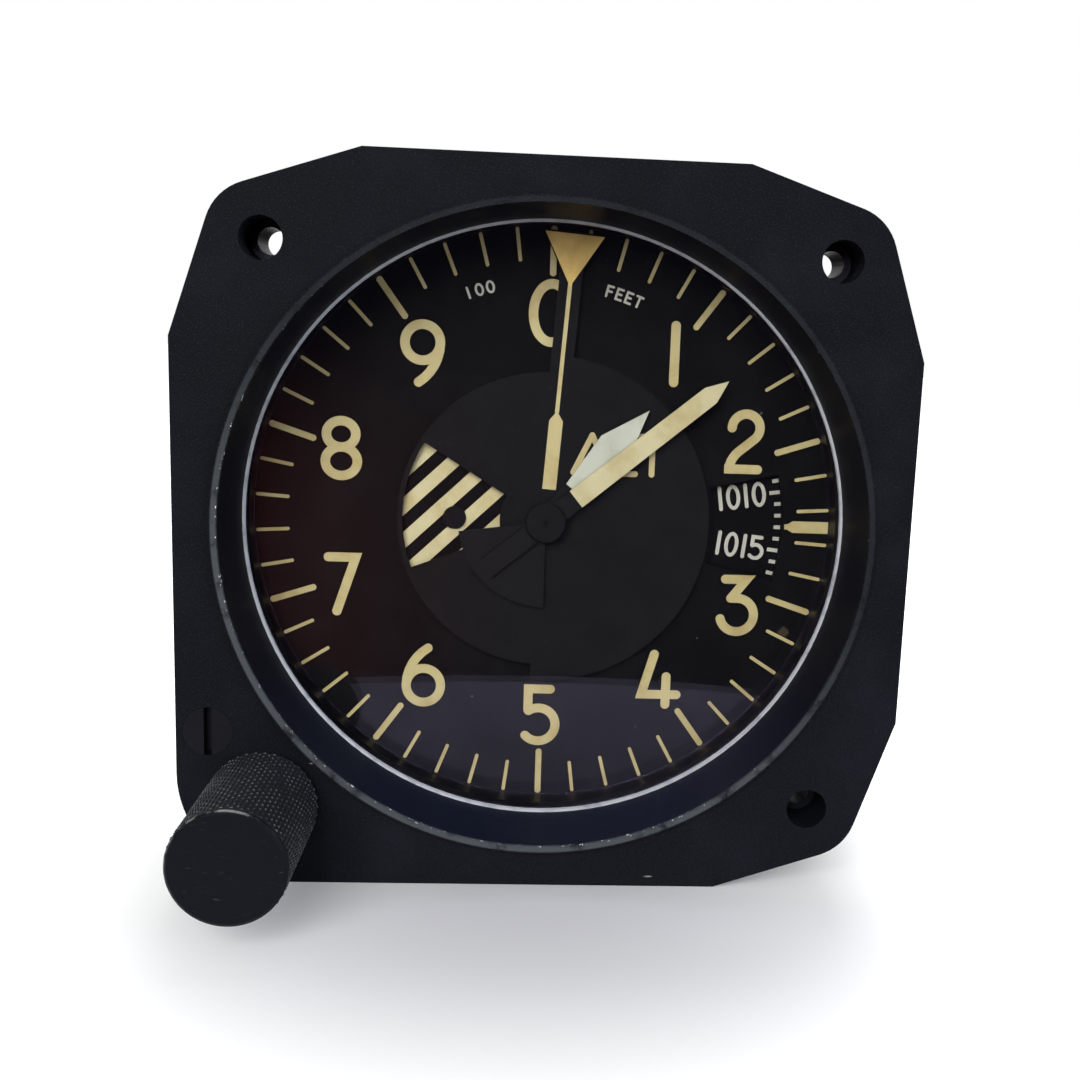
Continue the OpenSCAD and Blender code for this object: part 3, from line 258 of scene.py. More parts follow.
def dialBlack():
    # Matt black with a fine tooth, specks of dust and one old stain by the scale
    look = {"black": (9, 9, 10), "patch": (15, 15, 16), "dust": (120, 118, 112), "stain": (70, 60, 48),
            "stainAt": (30.2, -13.5), "stainEdge": (-0.1, 0.35)}
    finish = Finish("dial_black", look["black"], 0.6, specular=0.05)
    where = finish.place()
    x, y, z = finish.axes(where)
    broad = finish.noise(where, 0.16, 5.0)
    color = finish.mix(finish.step(broad, 0.4, 0.7), tone(*look["black"]), tone(*look["patch"]))
    specks = finish.times(finish.fall(finish.cells(where, 0.45), 0.05, 0.1),
                          finish.step(finish.noise(where, 0.31, 2.0), 0.6, 0.62), 0.35)
    color = finish.mix(specks, color, tone(*look["dust"]))
    away = finish.radius(finish.math("SUBTRACT", x, look["stainAt"][0]),
                         finish.math("SUBTRACT", z, look["stainAt"][1]))
    blot = finish.math("SUBTRACT", away, finish.times(finish.noise(where, 1.4), 1.1))
    stain = finish.times(finish.fall(blot, *look["stainEdge"]), 0.8)
    finish.give("Base Color", finish.mix(stain, color, tone(*look["stain"])))
    finish.give("Roughness", finish.spread(broad, 0.52, 0.7))
    finish.bump(finish.noise(where, 7.0, 2.0), 0.012, 0.5)
    return finish.material


# Aged paint: a warm tone with a browner bloom and a slightly grainy skin
def agedPaint(name, color, bloom):
    finish = Finish(name, color, 0.55)
    where = finish.place()
    cloud = finish.noise(where, 0.22, 5.0, 0.6)
    speck = finish.noise(where, 3.2, 4.0, 0.7)
    shade = finish.mix(finish.step(cloud, 0.4, 0.72), finish.color, tone(*bloom))
    shade = finish.mix(finish.times(finish.step(speck, 0.58, 0.8), 0.35), shade, tone(*bloom))
    finish.give("Base Color", shade)
    finish.bump(speck, 0.012, 0.6)
    return finish


# A pointer painted in two tones that meet at a distance from the axis, along the pointer
def pointerPaint(name, clock, meets, color, bloom, dark):
    finish = agedPaint(name, color, bloom)
    finish.shader.inputs["Specular IOR Level"].default_value = 0.15
    x, y, along = finish.axes(finish.place(turn=(0, -clock, 0)))
    blur = 0.04
    light = finish.step(along, meets - blur, meets + blur)
    bright = finish.shader.inputs["Base Color"].links[0].from_socket
    finish.give("Base Color", finish.mix(light, tone(*dark), bright))
    return finish.material


def discGrey(name, pitShadow=0.0):
    # Dark grey of the disc and the hub, with faint turning marks, rubbed spots and a painted shadow for a
    # centre pit
    finish = Finish(name, (19, 19, 20), 0.62, specular=0.08)
    where = finish.place()
    x, y, z = finish.axes(where)
    cloud = finish.noise(where, 0.2, 6.0, 0.65)
    shade = finish.mix(finish.step(cloud, 0.38, 0.7), finish.color, tone(15, 15, 16))
    slanted = finish.place(stretch=(1, 1, 2.2), turn=(0, 25, 0))
    rubbed = finish.step(finish.noise(slanted, 0.75, 5.0, 0.7), 0.63, 0.75)
    shade = finish.mix(finish.times(rubbed, 0.22), shade, tone(70, 70, 70))
    out = finish.radius(x, z)
    # A near-black dot at the centre: the painted shadow of a pit
    finish.give("Base Color", finish.mix(finish.step(out, pitShadow, pitShadow + 0.15), tone(1, 1, 1), shade))
    rings = finish.node("ShaderNodeCombineXYZ", {"X": out}).outputs["Vector"]
    turned = finish.noise(rings, 2.5, 2.0)
    finish.bump(finish.math("ADD", turned, finish.noise(where, 6.0)), 0.01, 0.4)
    return finish.material


def knobBlack():
    # Black anodised knob: the knurl is rubbed grey, the face stays blue-black, and its rim has a painted
    # highlight at the upper left
    look = {"face": (10, 12, 18), "knurl": (24, 26, 29), "rubbed": (132, 134, 136), "rim": (165, 165, 162),
            "tipRadius": (6.2, 6.34), "rimRadius": (5.98, 6.12), "faceDepth": (0.35, 0.5)}
    finish = Finish("knob_black", look["knurl"], 0.5, specular=0.07)
    where = finish.place(shift=(-knobCentre.x, 0, -knobCentre.z))
    x, y, z = finish.axes(where)
    out = finish.radius(x, z)
    patch = finish.noise(where, 0.5, 5.0, 0.65)
    tips = finish.times(finish.step(out, *look["tipRadius"]), finish.step(patch, 0.35, 0.65), 0.6)
    color = finish.mix(tips, finish.color, tone(*look["rubbed"]))
    face = finish.fall(y, *[knobBox[0].y + depth for depth in look["faceDepth"]])
    slanted = finish.place(stretch=(0.5, 1, 2.5), turn=(0, 30, 0))
    scuff = finish.times(finish.step(finish.noise(slanted, 1.6, 6.0, 0.7), 0.62, 0.78), 0.18)
    color = finish.mix(face, color, finish.mix(scuff, tone(*look["face"]), tone(*look["rubbed"])))
    # Painted highlight on the face's rim, only at the upper left, broken up by noise
    upLeftHighlight = finish.step(finish.math("SUBTRACT", z, x), -2.0, 7.0)
    bright = finish.step(patch, 0.42, 0.6)
    rim = finish.times(face, finish.step(out, *look["rimRadius"]), upLeftHighlight, bright, 0.4)
    finish.give("Base Color", finish.mix(rim, color, tone(*look["rim"])))
    finish.give("Roughness", finish.spread(patch, 0.42, 0.62))
    finish.bump(finish.noise(where, 6.0), 0.02, 0.5)
    return finish.material


# Finishes of the inside

def turnedMetal(name, color, stain, roughness, grain=(1, 6, 1)):
    finish = Finish(name, color, roughness, 1.0)
    cloud = finish.noise(finish.place(), 0.15, 5.0, 0.6)
    lines = finish.noise(finish.place(stretch=grain), 2.2, 4.0, 0.6)
    shade = finish.mix(finish.step(cloud, 0.42, 0.78), finish.color, tone(*stain))
    finish.give("Base Color", finish.mix(finish.times(lines, 0.25), shade, tone(*stain)))
    finish.give("Roughness", finish.spread(lines, roughness - 0.08, roughness + 0.12))
    finish.bump(lines, 0.015, 0.5)
    return finish.material


def capsuleBronze():
    finish = Finish("capsule_bronze", (176, 128, 84), 0.3, 1.0)
    where = finish.place()
    tarnish = finish.noise(where, 0.12, 6.0, 0.65)
    finish.give("Base Color", finish.mix(finish.step(tarnish, 0.4, 0.8), finish.color, tone(122, 78, 58)))
    finish.bump(finish.noise(where, 3.0), 0.01, 0.4)
    return finish.material


def rubyJewel():
    finish = Finish("ruby_jewel", (150, 14, 44), 0.08)
    cloud = finish.noise(finish.place(), 1.5, 4.0)
    finish.give("Base Color", finish.mix(cloud, finish.color, tone(96, 6, 26)))
    return finish.material


def bluedSteel():
    finish = Finish("blued_steel", (34, 52, 120), 0.25, 1.0)
    heat = finish.noise(finish.place(), 0.6, 3.0)
    finish.give("Base Color", finish.mix(heat, finish.color, tone(70, 48, 128)))
    return finish.material


def rubberBlack():
    finish = Finish("black_rubber", (22, 22, 23), 0.8)
    where = finish.place()
    bloom = finish.noise(where, 0.7, 5.0, 0.6)
    finish.give("Base Color", finish.mix(finish.step(bloom, 0.5, 0.8), finish.color, tone(46, 46, 46)))
    finish.bump(finish.noise(where, 5.0), 0.03, 0.5)
    return finish.material


cream = agedPaint("cream_paint", (184, 171, 119), (166, 147, 93)).material
paints = {
    "housing_paint": housingPaint(),
    "black_steel": screwBlack(),
    "seal_grey": sealGrey(),
    "clear_glass": clearGlass(),
    "gloss_black": glossBlack(),
    "dial_black": dialBlack(),
    "cream_paint": cream,
    "dark_grey_paint": discGrey("dark_grey_paint"),
    "knob_black": knobBlack(),
    "plain_steel": turnedMetal("plain_steel", (178, 178, 174), (132, 130, 124), 0.34),
    "grey_alloy": turnedMetal("grey_alloy", (150, 151, 150), (112, 113, 112), 0.45, (1, 1, 5)),
    "yellow_brass": turnedMetal("yellow_brass", (206, 170, 96), (160, 122, 62), 0.3),
    "capsule_bronze": capsuleBronze(),
    "ruby_jewel": rubyJewel(),
    "blued_steel": bluedSteel(),
    "black_rubber": rubberBlack(),
}
figureGrey = agedPaint("figure_grey", (182, 181, 167), (158, 156, 140)).material
legendTan = agedPaint("legend_tan", (180, 165, 116), (160, 142, 94)).material
# A yellower, brighter copy of the cream for the triangle at the top of the dial: its yellow is the painted
# shade of the rim, its extra brightness painted light
triangleCream = agedPaint("triangle_cream_light_and_shade", (222, 188, 104), (196, 160, 82)).material
stripeCream = agedPaint("stripe_cream", (194, 184, 140), (176, 160, 108)).material

# Nodes with a finish of their own, though they share a slot
pointerDark = (11, 11, 12)
ownFinish = {
    "hundreds_pointer": pointerPaint("hundreds_paint", hundredsClock, 4.6,
                                     (192, 184, 144), (176, 162, 116), pointerDark),
    "thousands_pointer": pointerPaint("thousands_paint", thousandsClock, 5.1,
                                      (184, 187, 171), (164, 167, 146), pointerDark),
    "baro_scale_marks": figureGrey,
    "hub_cap": discGrey("hub_grey", 0.22),
    "static_port_fitting": turnedMetal("port_metal", (116, 117, 114), (84, 84, 80), 0.5),
    "mounting_inserts": turnedMetal("blackened_steel", (46, 44, 52), (30, 28, 36), 0.5),
}
for name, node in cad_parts.items():
    slots = node.data.materials
    was = slots[0].name.split(".")[0] if len(slots) else "housing_paint"
    finish = ownFinish.get(name) or paints[was]
    if len(slots):
        for index in range(len(slots)):
            slots[index] = finish
    else:
        slots.append(finish)
print("finishes given to", len(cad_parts), "nodes")


# New pieces

# Makes a shape an object of the scene, and frees the shape
def addObject(bm, name, finish):
    mesh = bpy.data.meshes.new(name)
    bm.to_mesh(mesh)
    bm.free()
    mesh.materials.append(finish)
    added = bpy.data.objects.new(name, mesh)
    bpy.context.scene.collection.objects.link(added)
    return added


# Millimetres become metres, and the piece goes to its body
def keep(bm, name, finish, body):
    bmesh.ops.scale(bm, vec=(mm, mm, mm), verts=bm.verts)
    piece = addObject(bm, name, finish)
    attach(piece, body)
    return piece


# Turns a circle from the floor into the plane of the dial
upright = Matrix.Rotation(math.pi / 2, 4, "X")

# Thickness of the print, and what keeps two prints that overlap from sharing a face
film = 0.03
hair = 0.003

# Degrees that one step of a bent stroke turns
arcStep = 9


def heading(degrees):
    return Vector((math.cos(math.radians(degrees)), 0, math.sin(math.radians(degrees))))


# Gives a flat shape its thickness, towards the reader, with its faces outwards
def thicken(bm, thickness):
    grown = bmesh.ops.extrude_face_region(bm, geom=list(bm.faces))["geom"]
    front = [part for part in grown if isinstance(part, bmesh.types.BMVert)]
    bmesh.ops.translate(bm, verts=front, vec=(0, -thickness, 0))
    bmesh.ops.recalc_face_normals(bm, faces=bm.faces)


# Adds a finished shape to a piece, and frees it
def join(bm, shape):
    loose = bpy.data.meshes.new("loose")
    shape.to_mesh(loose)
    shape.free()
    bm.from_mesh(loose)
    bpy.data.meshes.remove(loose)


# A stroke of a pen of one width. Moves: line length; arc radius, degrees (left is positive);
# corner degrees, with a sharp outer point. Rounds says which of its two ends are round
def penStroke(pen, start, angle, moves, rounds=(True, True)):
    bm = bmesh.new()
    at = Vector((start[0], 0, start[1]))
    left = bm.verts.new(at + heading(angle + 90) * pen / 2)
    right = bm.verts.new(at - heading(angle + 90) * pen / 2)
    edge = bm.edges.new((left, right))
    ends = [at.copy()]
    for kind, *values in moves:
        if kind == "corner":
            reach = pen / 2 / math.cos(math.radians(values[0] / 2))
            mitre = heading(angle + 90 + values[0] / 2) * reach
            left.co = at + mitre
            right.co = at - mitre
            angle += values[0]
            continue
        if kind == "line":
            grown = bmesh.ops.extrude_edge_only(bm, edges=[edge])["geom"]
            at = at + heading(angle) * values[0]
        else:
            side = math.copysign(90, values[1])
            centre = at + heading(angle + side) * values[0]
            grown = bmesh.ops.spin(bm, geom=[left, right, edge], cent=centre, axis=reader,
                                   angle=math.radians(values[1]),
                                   steps=max(3, int(abs(values[1]) / arcStep)))["geom_last"]
            angle += values[1]
            at = centre - heading(angle + side) * values[0]
        edge = next(part for part in grown if isinstance(part, bmesh.types.BMEdge))
        across = heading(angle + 90)
        left, right = sorted(edge.verts, key=lambda vert: -vert.co.dot(across))
        if kind == "line":
            left.co = at + across * pen / 2
            right.co = at - across * pen / 2
    ends.append(at.copy())
    return bm, [end for end, rounded in zip(ends, rounds) if rounded]


def penRing(pen, centre, halfWidth, halfHeight):
    bm = bmesh.new()
    for grow in (pen / 2, -pen / 2):
        circle = bmesh.ops.create_circle(bm, segments=56, radius=1, matrix=upright)
        bmesh.ops.scale(bm, vec=(halfWidth + grow, 1, halfHeight + grow), verts=circle["verts"])
    bmesh.ops.bridge_loops(bm, edges=bm.edges)
    bmesh.ops.translate(bm, verts=bm.verts, vec=(centre[0], 0, centre[1]))
    return bm


def penDot(pen, centre):
    bm = bmesh.new()
    bmesh.ops.create_circle(bm, segments=20, radius=pen / 2, cap_ends=True,
                            matrix=Matrix.Translation(centre) @ upright)
    return bm


# The drawing of each sign: centre lines on a grid about 7 mm high
signs = {
    "0": [("ring", (0, 0), 2.26, 3.53)],
    "1": [("pen", (-0.03, 3.48), 270, [("line", 6.96)])],
    "2": [("pen", (-1.68, 1.71), 90, [("arc", 1.77, -230), ("line", 2.53), ("arc", 3.1, 47), ("line", 0.58)],
           (True, False)),
          ("pen", (-2.42, -3.48), 0, [("line", 4.23)], (False, True))],
    "3": [("pen", (-1.68, 3.42), 0, [("line", 2.73), ("corner", -127.7), ("line", 3.14)]),
          ("pen", (-0.87, 0.94), 0, [("line", 0.88), ("arc", 2.19, -256)])],
    "4": [("pen", (-0.61, 3.5), 254.4, [("line", 5.55), ("corner", 105.6), ("line", 4.57)]),
          ("pen", (1.06, 0.56), 270, [("line", 3.73)])],
    "5": [("pen", (1.16, 3.5), 180, [("line", 2.82), ("corner", 90), ("line", 2.8)]),
          ("pen", (-1.57, 0.57), 35, [("arc", 2.22, -263)])],
    "6": [("ring", (-0.03, -1.33), 2.19, 2.24), ("pen", (-2.22, -1.33), 90, [("arc", 5.83, -57.8)])],
    "7": [("pen", (-1.81, 3.46), 0, [("line", 3.41), ("corner", -108.5), ("line", 7.32)])],
    "8": [("ring", (0, 1.76), 1.8, 1.63), ("ring", (0.03, -1.63), 1.97, 1.78)],
    "9": [("ring", (0.01, 1.3), 2.16, 2.19), ("pen", (2.17, 1.3), 270, [("arc", 5.85, -56.2)])],
    "A": [("pen", (-3.3, -3.48), 64.6, [("line", 7.7)]), ("pen", (3.3, -3.48), 115.4, [("line", 7.7)]),
          ("pen", (-2.2, -1.3), 0, [("line", 4.4)], (False, False))],
    "E": [("pen", (1.8, 3.48), 180, [("line", 3.7), ("corner", 90), ("line", 6.96), ("corner", 90),
                                     ("line", 3.7)]),
          ("pen", (-1.7, 0.1), 0, [("line", 2.9)])],
    "F": [("pen", (-1.9, -3.48), 90, [("line", 6.96), ("corner", -90), ("line", 3.6)]),
          ("pen", (-1.7, 0.1), 0, [("line", 2.8)])],
    "L": [("pen", (-1.7, 3.48), 270, [("line", 6.96), ("corner", 90), ("line", 3.3)])],
    "T": [("pen", (-2.2, 3.48), 0, [("line", 4.4)]), ("pen", (0, 3.2), 270, [("line", 6.68)])],
}


# Adds one sign to a piece: size scales the drawing, the pen keeps its real width
def addSign(bm, sign, at, face, size, pen, turn=0, thickness=film, slim=1.0):
    place = (Matrix.Translation((at[0], face, at[1])) @ Matrix.Rotation(math.radians(-turn), 4, "Y")
             @ Matrix.Diagonal((size, 1, size, 1)))
    for kind, *values in signs[sign]:
        if kind == "ring":
            centre, halfWidth, halfHeight = values
            flats = [penRing(pen / size, centre, halfWidth * slim, halfHeight)]
        else:
            flat, ends = penStroke(pen / size, *values)
            flats = [flat] + [penDot(pen / size, end) for end in ends]
        for flat in flats:
            thicken(flat, thickness)
            thickness += hair
            bmesh.ops.transform(flat, matrix=place, verts=flat.verts)
            join(bm, flat)


def onClock(radius, clock):
    return (radius * math.sin(math.radians(clock)), radius * math.cos(math.radians(clock)))


def makeDialFigures():
    dial = {"size": 0.97, "pen": 1.13,
            "places": [(0, 24.9), (14.96, 20.6), (24.0, 10.35), (24.2, -10.1), (14.7, -20.0),
                       (0.1, -24.8), (-14.55, -19.95), (-24.55, -8.65), (-24.8, 8.0), (-15.25, 19.65)]}
    bm = bmesh.new()
    for figure, at in enumerate(dial["places"]):
        addSign(bm, str(figure), at, dialFace, dial["size"], dial["pen"])
    return keep(bm, "dial_figures", cream, "housing")


def makeDialLegend():
    # The small words at the top of the dial follow its circle. Words: text, radius, clock angle, pitch
    legend = {"size": 0.177, "pen": 0.27, "words": [("100", 28.65, -17.6, 1.35), ("FEET", 28.5, 17.5, 1.2)],
              "tickPen": 0.34, "tickAt": (0.35, 17.7), "tickLength": 1.8}
    bm = bmesh.new()
    for word, radius, clock, pitch in legend["words"]:
        for index, sign in enumerate(word):
            along = (index - (len(word) - 1) / 2) * pitch
            spot = clock + math.degrees(along / radius)
            addSign(bm, sign, onClock(radius, spot), dialFace, legend["size"], legend["pen"], -spot)
    tick = penStroke(legend["tickPen"], legend["tickAt"], 90, [("line", legend["tickLength"])])[0]
    thicken(tick, film)
    bmesh.ops.translate(tick, verts=tick.verts, vec=(0, dialFace, 0))
    join(bm, tick)
    return keep(bm, "dial_legend", figureGrey, "housing")


# A flat sector of a ring, as faces in the plane of the dial
def ringSector(inner, outer, fromClock, toClock):
    bm = bmesh.new()
    along = heading(90 - fromClock)
    verts = [bm.verts.new(along * radius) for radius in (inner, outer)]
    edge = bm.edges.new(verts)
    bmesh.ops.spin(bm, geom=[*verts, edge], cent=(0, 0, 0), axis=reader,
                   angle=math.radians(fromClock - toClock), steps=40)
    return bm


def makeStripes():
    # Slanting bars on the dial, seen through the window of the disc at low altitude
    stripes = {"inner": 5.2, "outer": 17.75, "from": 236, "to": 303, "rise": 43.6, "pitch": 3.1, "bar": 1.62,
               "start": -15.95, "count": 11}
    bm = bmesh.new()
    across = heading(stripes["rise"] + 90)
    for index in range(stripes["count"]):
        low = stripes["start"] + index * stripes["pitch"]
        bar = ringSector(stripes["inner"], stripes["outer"], stripes["from"], stripes["to"])
        for edge, outward in ((low, -across), (low + stripes["bar"], across)):
            bmesh.ops.bisect_plane(bar, geom=[*bar.verts, *bar.edges, *bar.faces], plane_co=across * edge,
                                   plane_no=outward, clear_outer=True)
        if bar.faces:
            thicken(bar, film)
            bmesh.ops.translate(bar, verts=bar.verts, vec=(0, dialFace, 0))
        join(bm, bar)
    return keep(bm, "low_altitude_stripes", stripeCream, "housing")


def makeDiscLegend():
    legend = {"size": 0.655, "pen": 0.7, "height": 8.35, "letters": [("A", 5.3), ("L", 9.6), ("T", 12.65)]}
    bm = bmesh.new()
    for sign, x in legend["letters"]:
        addSign(bm, sign, (x, legend["height"]), discFace, legend["size"], legend["pen"])
    return keep(bm, "disc_legend", legendTan, "ten_thousands")


# A flat shape from its corners, drawn up the pointer, then turned to the clock angle
def pointerPatch(corners, face, thickness, clock):
    bm = bmesh.new()
    bm.faces.new([bm.verts.new((x, 0, z)) for x, z in corners])
    thicken(bm, thickness)
    bmesh.ops.translate(bm, verts=bm.verts, vec=(0, face, 0))
    bmesh.ops.rotate(bm, cent=(0, 0, 0), matrix=Matrix.Rotation(math.radians(clock), 3, "Y"), verts=bm.verts)
    return bm


def makeTenThousandsPaint():
    # The bar, the long line and the triangle, painted on the disc and its arm
    line = {"half": 0.245, "from": 13.2, "to": 29.5}
    bar = {"half": 0.83, "from": 3.9, "shoulder": 12.2, "tip": 13.4}
    triangle = {"half": 3.5, "apex": 28.1, "base": 34.2}
    shapes = {
        "ten_thousands_bar": (cream, film, [
            (-bar["half"], bar["from"]), (bar["half"], bar["from"]), (bar["half"], bar["shoulder"]),
            (0, bar["tip"]), (-bar["half"], bar["shoulder"])]),
        "ten_thousands_line": (cream, film + hair, [
            (-line["half"], line["from"]), (line["half"], line["from"]), (line["half"], line["to"]),
            (-line["half"], line["to"])]),
        "ten_thousands_triangle": (triangleCream, film + 2 * hair, [
            (0, triangle["apex"]), (triangle["half"], triangle["base"]),
            (-triangle["half"], triangle["base"])]),
    }
    for name, (finish, thickness, corners) in shapes.items():
        patch = pointerPatch(corners, discFace, thickness, tenThousandsClock)
        keep(patch, name, finish, "ten_thousands")


# Where a pressure stands on the scale ring, at rest
def pressureClock(pressure):
    scale = {"centre": 90.5, "degrees": 2.9}
    return scale["centre"] + scale["degrees"] * (pressure - reading["pressure"])


def makeBaroFigures():
    # A figure for every five millibars, written outwards along the radius
    scale = {"from": 950, "to": 1050, "every": 5, "radius": 24.45, "size": 0.38, "pen": 0.46, "slim": 0.76,
             "narrow": 1.1, "wide": 2.12, "film": 0.04}
    bm = bmesh.new()
    for pressure in range(scale["from"], scale["to"] + 1, scale["every"]):
        clock = pressureClock(pressure)
        widths = [scale["narrow"] if sign == "1" else scale["wide"] for sign in str(pressure)]
        out = scale["radius"] - sum(widths) / 2
        for sign, width in zip(str(pressure), widths):
            at = onClock(out + width / 2, clock)
            slim = scale["slim"] if sign == "0" else 1
            addSign(bm, sign, at, baroFace, scale["size"], scale["pen"], 90 - clock, scale["film"], slim)
            out += width
    return keep(bm, "baro_figures", figureGrey, "baro_scale")


def makeBaroMarks():
    # Printed marks, finer and further out than the raised ones that they stand for
    marks = {"from": 946, "to": 1050, "every": 5, "half": 0.23, "outer": 29.4, "long": 1.45, "short": 0.95,
             "film": 0.04}
    bm = bmesh.new()
    for pressure in range(marks["from"], marks["to"] + 1):
        inner = marks["outer"] - (marks["short"] if pressure % marks["every"] else marks["long"])
        corners = [(-marks["half"], inner), (marks["half"], inner), (marks["half"], marks["outer"]),
                   (-marks["half"], marks["outer"])]
        join(bm, pointerPatch(corners, baroFace, marks["film"], pressureClock(pressure)))
    piece = keep(bm, "baro_marks", figureGrey, "baro_scale")
    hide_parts("baro_scale_marks")
    return piece


def makeKnob():
    # Diamond knurl: peaks and valleys alternate on a grid, and each cell is cut between its valleys
    knob = {"starts": 38, "rows": 31, "peak": 6.34, "valley": 6.02, "band": 6.2, "face": 5.85,
            "chamfer": 0.28, "knurlFront": 0.85, "lead": 0.12, "knurlBack": 0.6, "backChamfer": 0.4,
            "bore": 1.66, "boreDepth": 9, "setHole": 1.04, "setAt": -5.1, "cutDepth": 6, "cutDrop": 5}
    front, back = knobBox[0].y, knobBox[1].y
    columns = knob["starts"] * 2
    bm = bmesh.new()
    bmesh.ops.create_circle(bm, segments=columns, radius=knob["face"],
                            matrix=Matrix.Translation((0, front, 0)) @ upright)
    loop = list(bm.edges)
    knurlFront, knurlBack = front + knob["knurlFront"], back - knob["knurlBack"]
    step = (knurlBack - knurlFront) / (knob["rows"] - 1)
    rings = [(front + knob["chamfer"], knob["band"], False),
             (knurlFront - knob["lead"], knob["band"], False)]
    rings += [(knurlFront + step * row, knob["peak"], True) for row in range(knob["rows"])]
    rings += [(back - knob["backChamfer"], knob["band"], False), (back, knob["face"], False),
              (back, knob["bore"], False), (back - knob["boreDepth"], knob["bore"], False)]
    valleys = []
    row = 0
    for place, radius, knurled in rings:
        grown = bmesh.ops.extrude_edge_only(bm, edges=loop)["geom"]
        loop = [part for part in grown if isinstance(part, bmesh.types.BMEdge)]
        for vert in [part for part in grown if isinstance(part, bmesh.types.BMVert)]:
            column = round(math.atan2(vert.co.z, vert.co.x) / math.tau * columns)
            low = knurled and (column + row) % 2
            flat = Vector((vert.co.x, 0, vert.co.z)).normalized() * (knob["valley"] if low else radius)
            vert.co = Vector((flat.x, place, flat.z))
            if low:
                valleys.append(vert)
        row += knurled
    bmesh.ops.connect_verts(bm, verts=valleys)
    bmesh.ops.holes_fill(bm, edges=bm.edges, sides=0)
    bmesh.ops.recalc_face_normals(bm, faces=bm.faces)
    bmesh.ops.translate(bm, verts=bm.verts, vec=(knobCentre.x, 0, knobCentre.z))
    piece = keep(bm, "knurled_knob", paints["knob_black"], "knob")
    # The set screw's hole is cut through the knurl
    cutter = bmesh.new()
    under = Matrix.Translation((knobCentre.x, knob["setAt"], knobCentre.z - knob["cutDrop"]))
    bmesh.ops.create_cone(cutter, segments=24, radius1=knob["setHole"], radius2=knob["setHole"],
                          depth=knob["cutDepth"], cap_ends=True, matrix=under)
    bmesh.ops.scale(cutter, vec=(mm, mm, mm), verts=cutter.verts)
    cutterMesh = bpy.data.meshes.new("cutter")
    cutter.to_mesh(cutterMesh)
    cutter.free()
    tool = bpy.data.objects.new("cutter", cutterMesh)
    bpy.context.scene.collection.objects.link(tool)
    hole = piece.modifiers.new("hole", "BOOLEAN")
    hole.operation = "DIFFERENCE"
    hole.object = tool
    bpy.context.view_layer.update()
    shaped = bpy.data.meshes.new_from_object(piece.evaluated_get(bpy.context.evaluated_depsgraph_get()))
    piece.modifiers.clear()
    piece.data = shaped
    bpy.data.objects.remove(tool)
    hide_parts("setting_knob")
    return piece


makeDialFigures()
makeDialLegend()
makeStripes()
makeDiscLegend()
makeTenThousandsPaint()
makeBaroFigures()
makeBaroMarks()
makeKnob()
print("print on the dial, the pointers and the pressure scale made, and the knurled knob")


# Floor, world and lights

def makeFloor():
    # Its front edge is a curve that shows in the glass. Emission lifts it to white away from the object and
    # fades out near it, which paints a soft shadow round the object over its real shadow
    floor = {"front": -0.0715, "half": (1.2, 9.7), "sink": 0.00005, "shade": (188, 188, 188),
             "fade": (42, 92), "glow": (0.0, 1.0), "mirrored": 0.42}
    bm = bmesh.new()
    bmesh.ops.create_circle(bm, segments=512, radius=1, cap_ends=True)
    bmesh.ops.scale(bm, vec=(*floor["half"], 1), verts=bm.verts)
    middle = (0, floor["front"] + floor["half"][1], cadBox[0][2] - floor["sink"])
    bmesh.ops.translate(bm, verts=bm.verts, vec=middle)
    finish = Finish("floor_paint", floor["shade"], 0.9)
    light = finish.node("ShaderNodeLightPath")
    seen = finish.math("ADD", light.outputs["Is Camera Ray"], light.outputs["Is Transmission Ray"])
    away = finish.node("ShaderNodeVectorMath", {0: finish.place()}, operation="LENGTH").outputs["Value"]
    # Emission grows with distance from the object: white far off, none near it, a painted shadow round the
    # object
    glow = finish.node("ShaderNodeMapRange", {
        "Value": away, "From Min": floor["fade"][0], "From Max": floor["fade"][1],
        "To Min": floor["glow"][0], "To Max": floor["glow"][1]}).outputs["Result"]
    strength = finish.math("ADD", finish.times(seen, glow),
                           finish.times(light.outputs["Is Glossy Ray"], floor["mirrored"]))
    dim = finish.dimInGlass()
    finish.give("Base Color", finish.mix(dim, (0, 0, 0, 1), finish.color))
    finish.shader.inputs["Emission Color"].default_value = (1, 1, 1, 1)
    finish.give("Emission Strength", finish.times(strength, dim))
    plane = addObject(bm, "floor", finish.material)


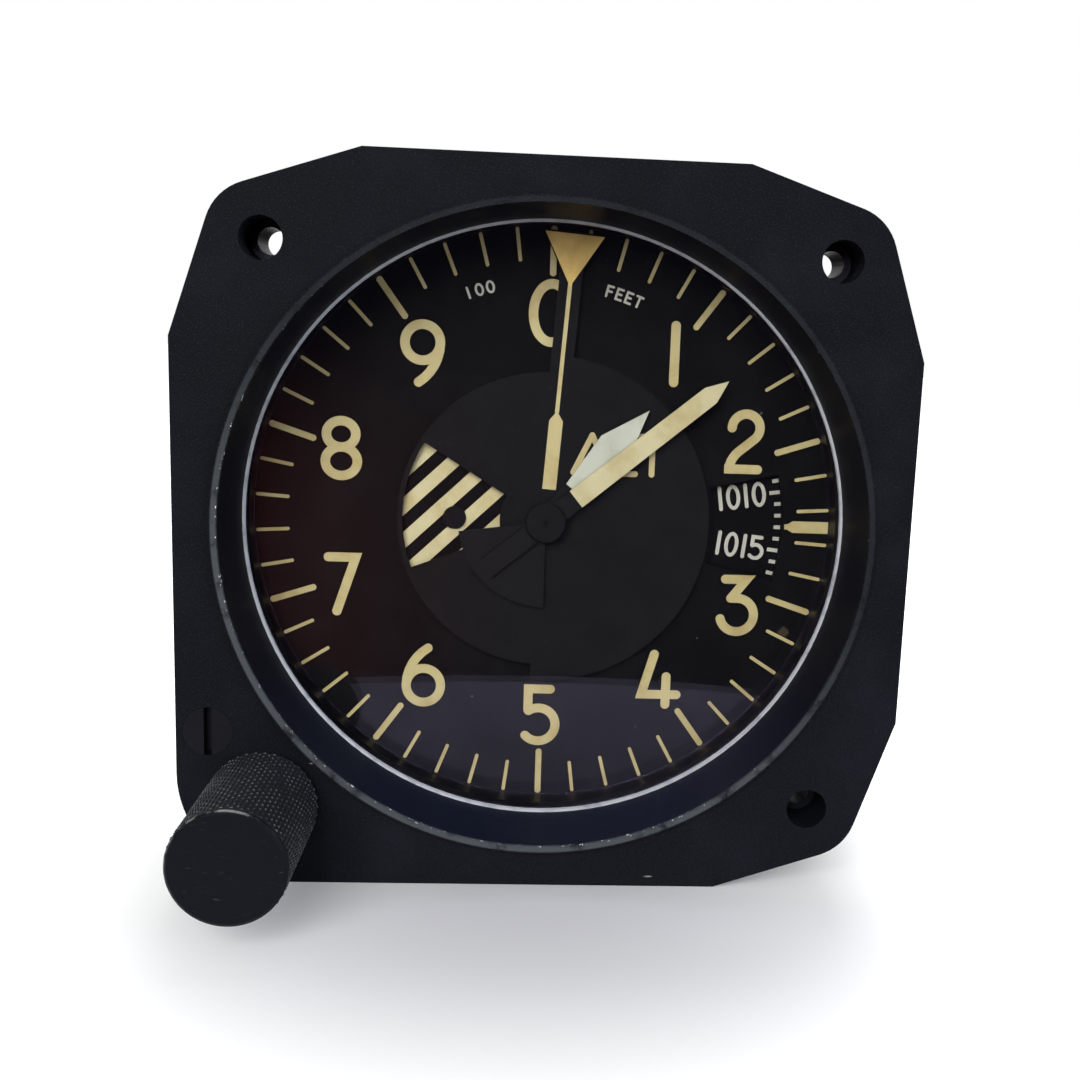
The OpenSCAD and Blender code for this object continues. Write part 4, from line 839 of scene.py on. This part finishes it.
def makeWorld():
    # White where the camera looks. The object is lit softly, and what it mirrors is a dim room with
    # a reddish side at the lower left, in front of a white wall
    room = {"soft": (0.5, 0.5, 0.51, 1), "white": (1, 1, 1, 1), "left": (0.60, 0.15, 0.11, 1),
            "dim": (0.07, 0.07, 0.09, 1), "sideEdge": (0.02, -0.2), "lowEdge": (0.02, -0.16),
            "wallEdge": (-0.25, 0.35)}
    world = bpy.data.worlds.new("studio")
    bpy.context.scene.world = world
    world.use_nodes = True
    world.node_tree.nodes.clear()
    nodes = Nodes(world.node_tree)
    path = nodes.node("ShaderNodeLightPath").outputs
    x, y, z = nodes.axes(nodes.node("ShaderNodeTexCoord").outputs["Generated"])
    warm = nodes.times(nodes.step(x, *room["sideEdge"]), nodes.step(z, *room["lowEdge"]))
    front = nodes.mix(warm, room["dim"], room["left"])
    mirrored = nodes.mix(nodes.step(y, *room["wallEdge"]), front, room["white"])
    color = nodes.mix(path["Is Glossy Ray"], room["soft"], mirrored)
    plain = nodes.math("ADD", path["Is Camera Ray"], path["Is Transmission Ray"], True)
    sky = nodes.node("ShaderNodeBackground", {
        "Color": nodes.mix(plain, color, room["white"]), "Strength": nodes.dimInGlass()})
    nodes.node("ShaderNodeOutputWorld", {"Surface": sky.outputs["Background"]})


# Place and diameter in metres, power in watts. Each lamp points at the middle of the dial
def makeLight(name, place, size, power, color=(1, 1, 1)):
    lamp = bpy.data.lights.new(name, "AREA")
    lamp.shape = "DISK"
    lamp.size = size
    lamp.energy = power
    lamp.color = color
    holder = bpy.data.objects.new(name, lamp)
    holder.location = place
    holder.rotation_euler = (-Vector(place)).to_track_quat("-Z", "Y").to_euler()
    bpy.context.scene.collection.objects.link(holder)


def makeCamera():
    # The place and turn that fit the photograph's flange, holes, scale marks and knob
    shot = {"place": (-2.645, -140.883, 22.715), "turn": (80.252, -2.152, -3.207), "sensor": 36,
            "focalPixels": 1274.2, "axisPixel": (601.6, 552.5), "imagePixels": 1080, "clip": (0.005, 20)}
    data = bpy.data.cameras.new("camera")
    data.sensor_width = shot["sensor"]
    data.lens = shot["focalPixels"] / shot["imagePixels"] * data.sensor_width
    data.shift_x = (shot["imagePixels"] / 2 - shot["axisPixel"][0]) / shot["imagePixels"]
    data.shift_y = (shot["axisPixel"][1] - shot["imagePixels"] / 2) / shot["imagePixels"]
    data.clip_start, data.clip_end = shot["clip"]
    camera = bpy.data.objects.new("camera", data)
    camera.location = [value * mm for value in shot["place"]]
    camera.rotation_euler = [math.radians(value) for value in shot["turn"]]
    bpy.context.scene.collection.objects.link(camera)
    bpy.context.scene.camera = camera


bpy.context.scene.view_settings.view_transform = "Standard"
makeFloor()
makeWorld()
makeLight("key_light", (-0.3, -1.0, 0.55), 0.8, 16)
makeLight("fill_light", (0.85, -0.6, 0.3), 0.6, 6, (0.78, 0.87, 1))
makeLight("top_light", (0.1, 0.45, 0.75), 0.6, 8)
makeCamera()
print("floor, world, lights and camera made")
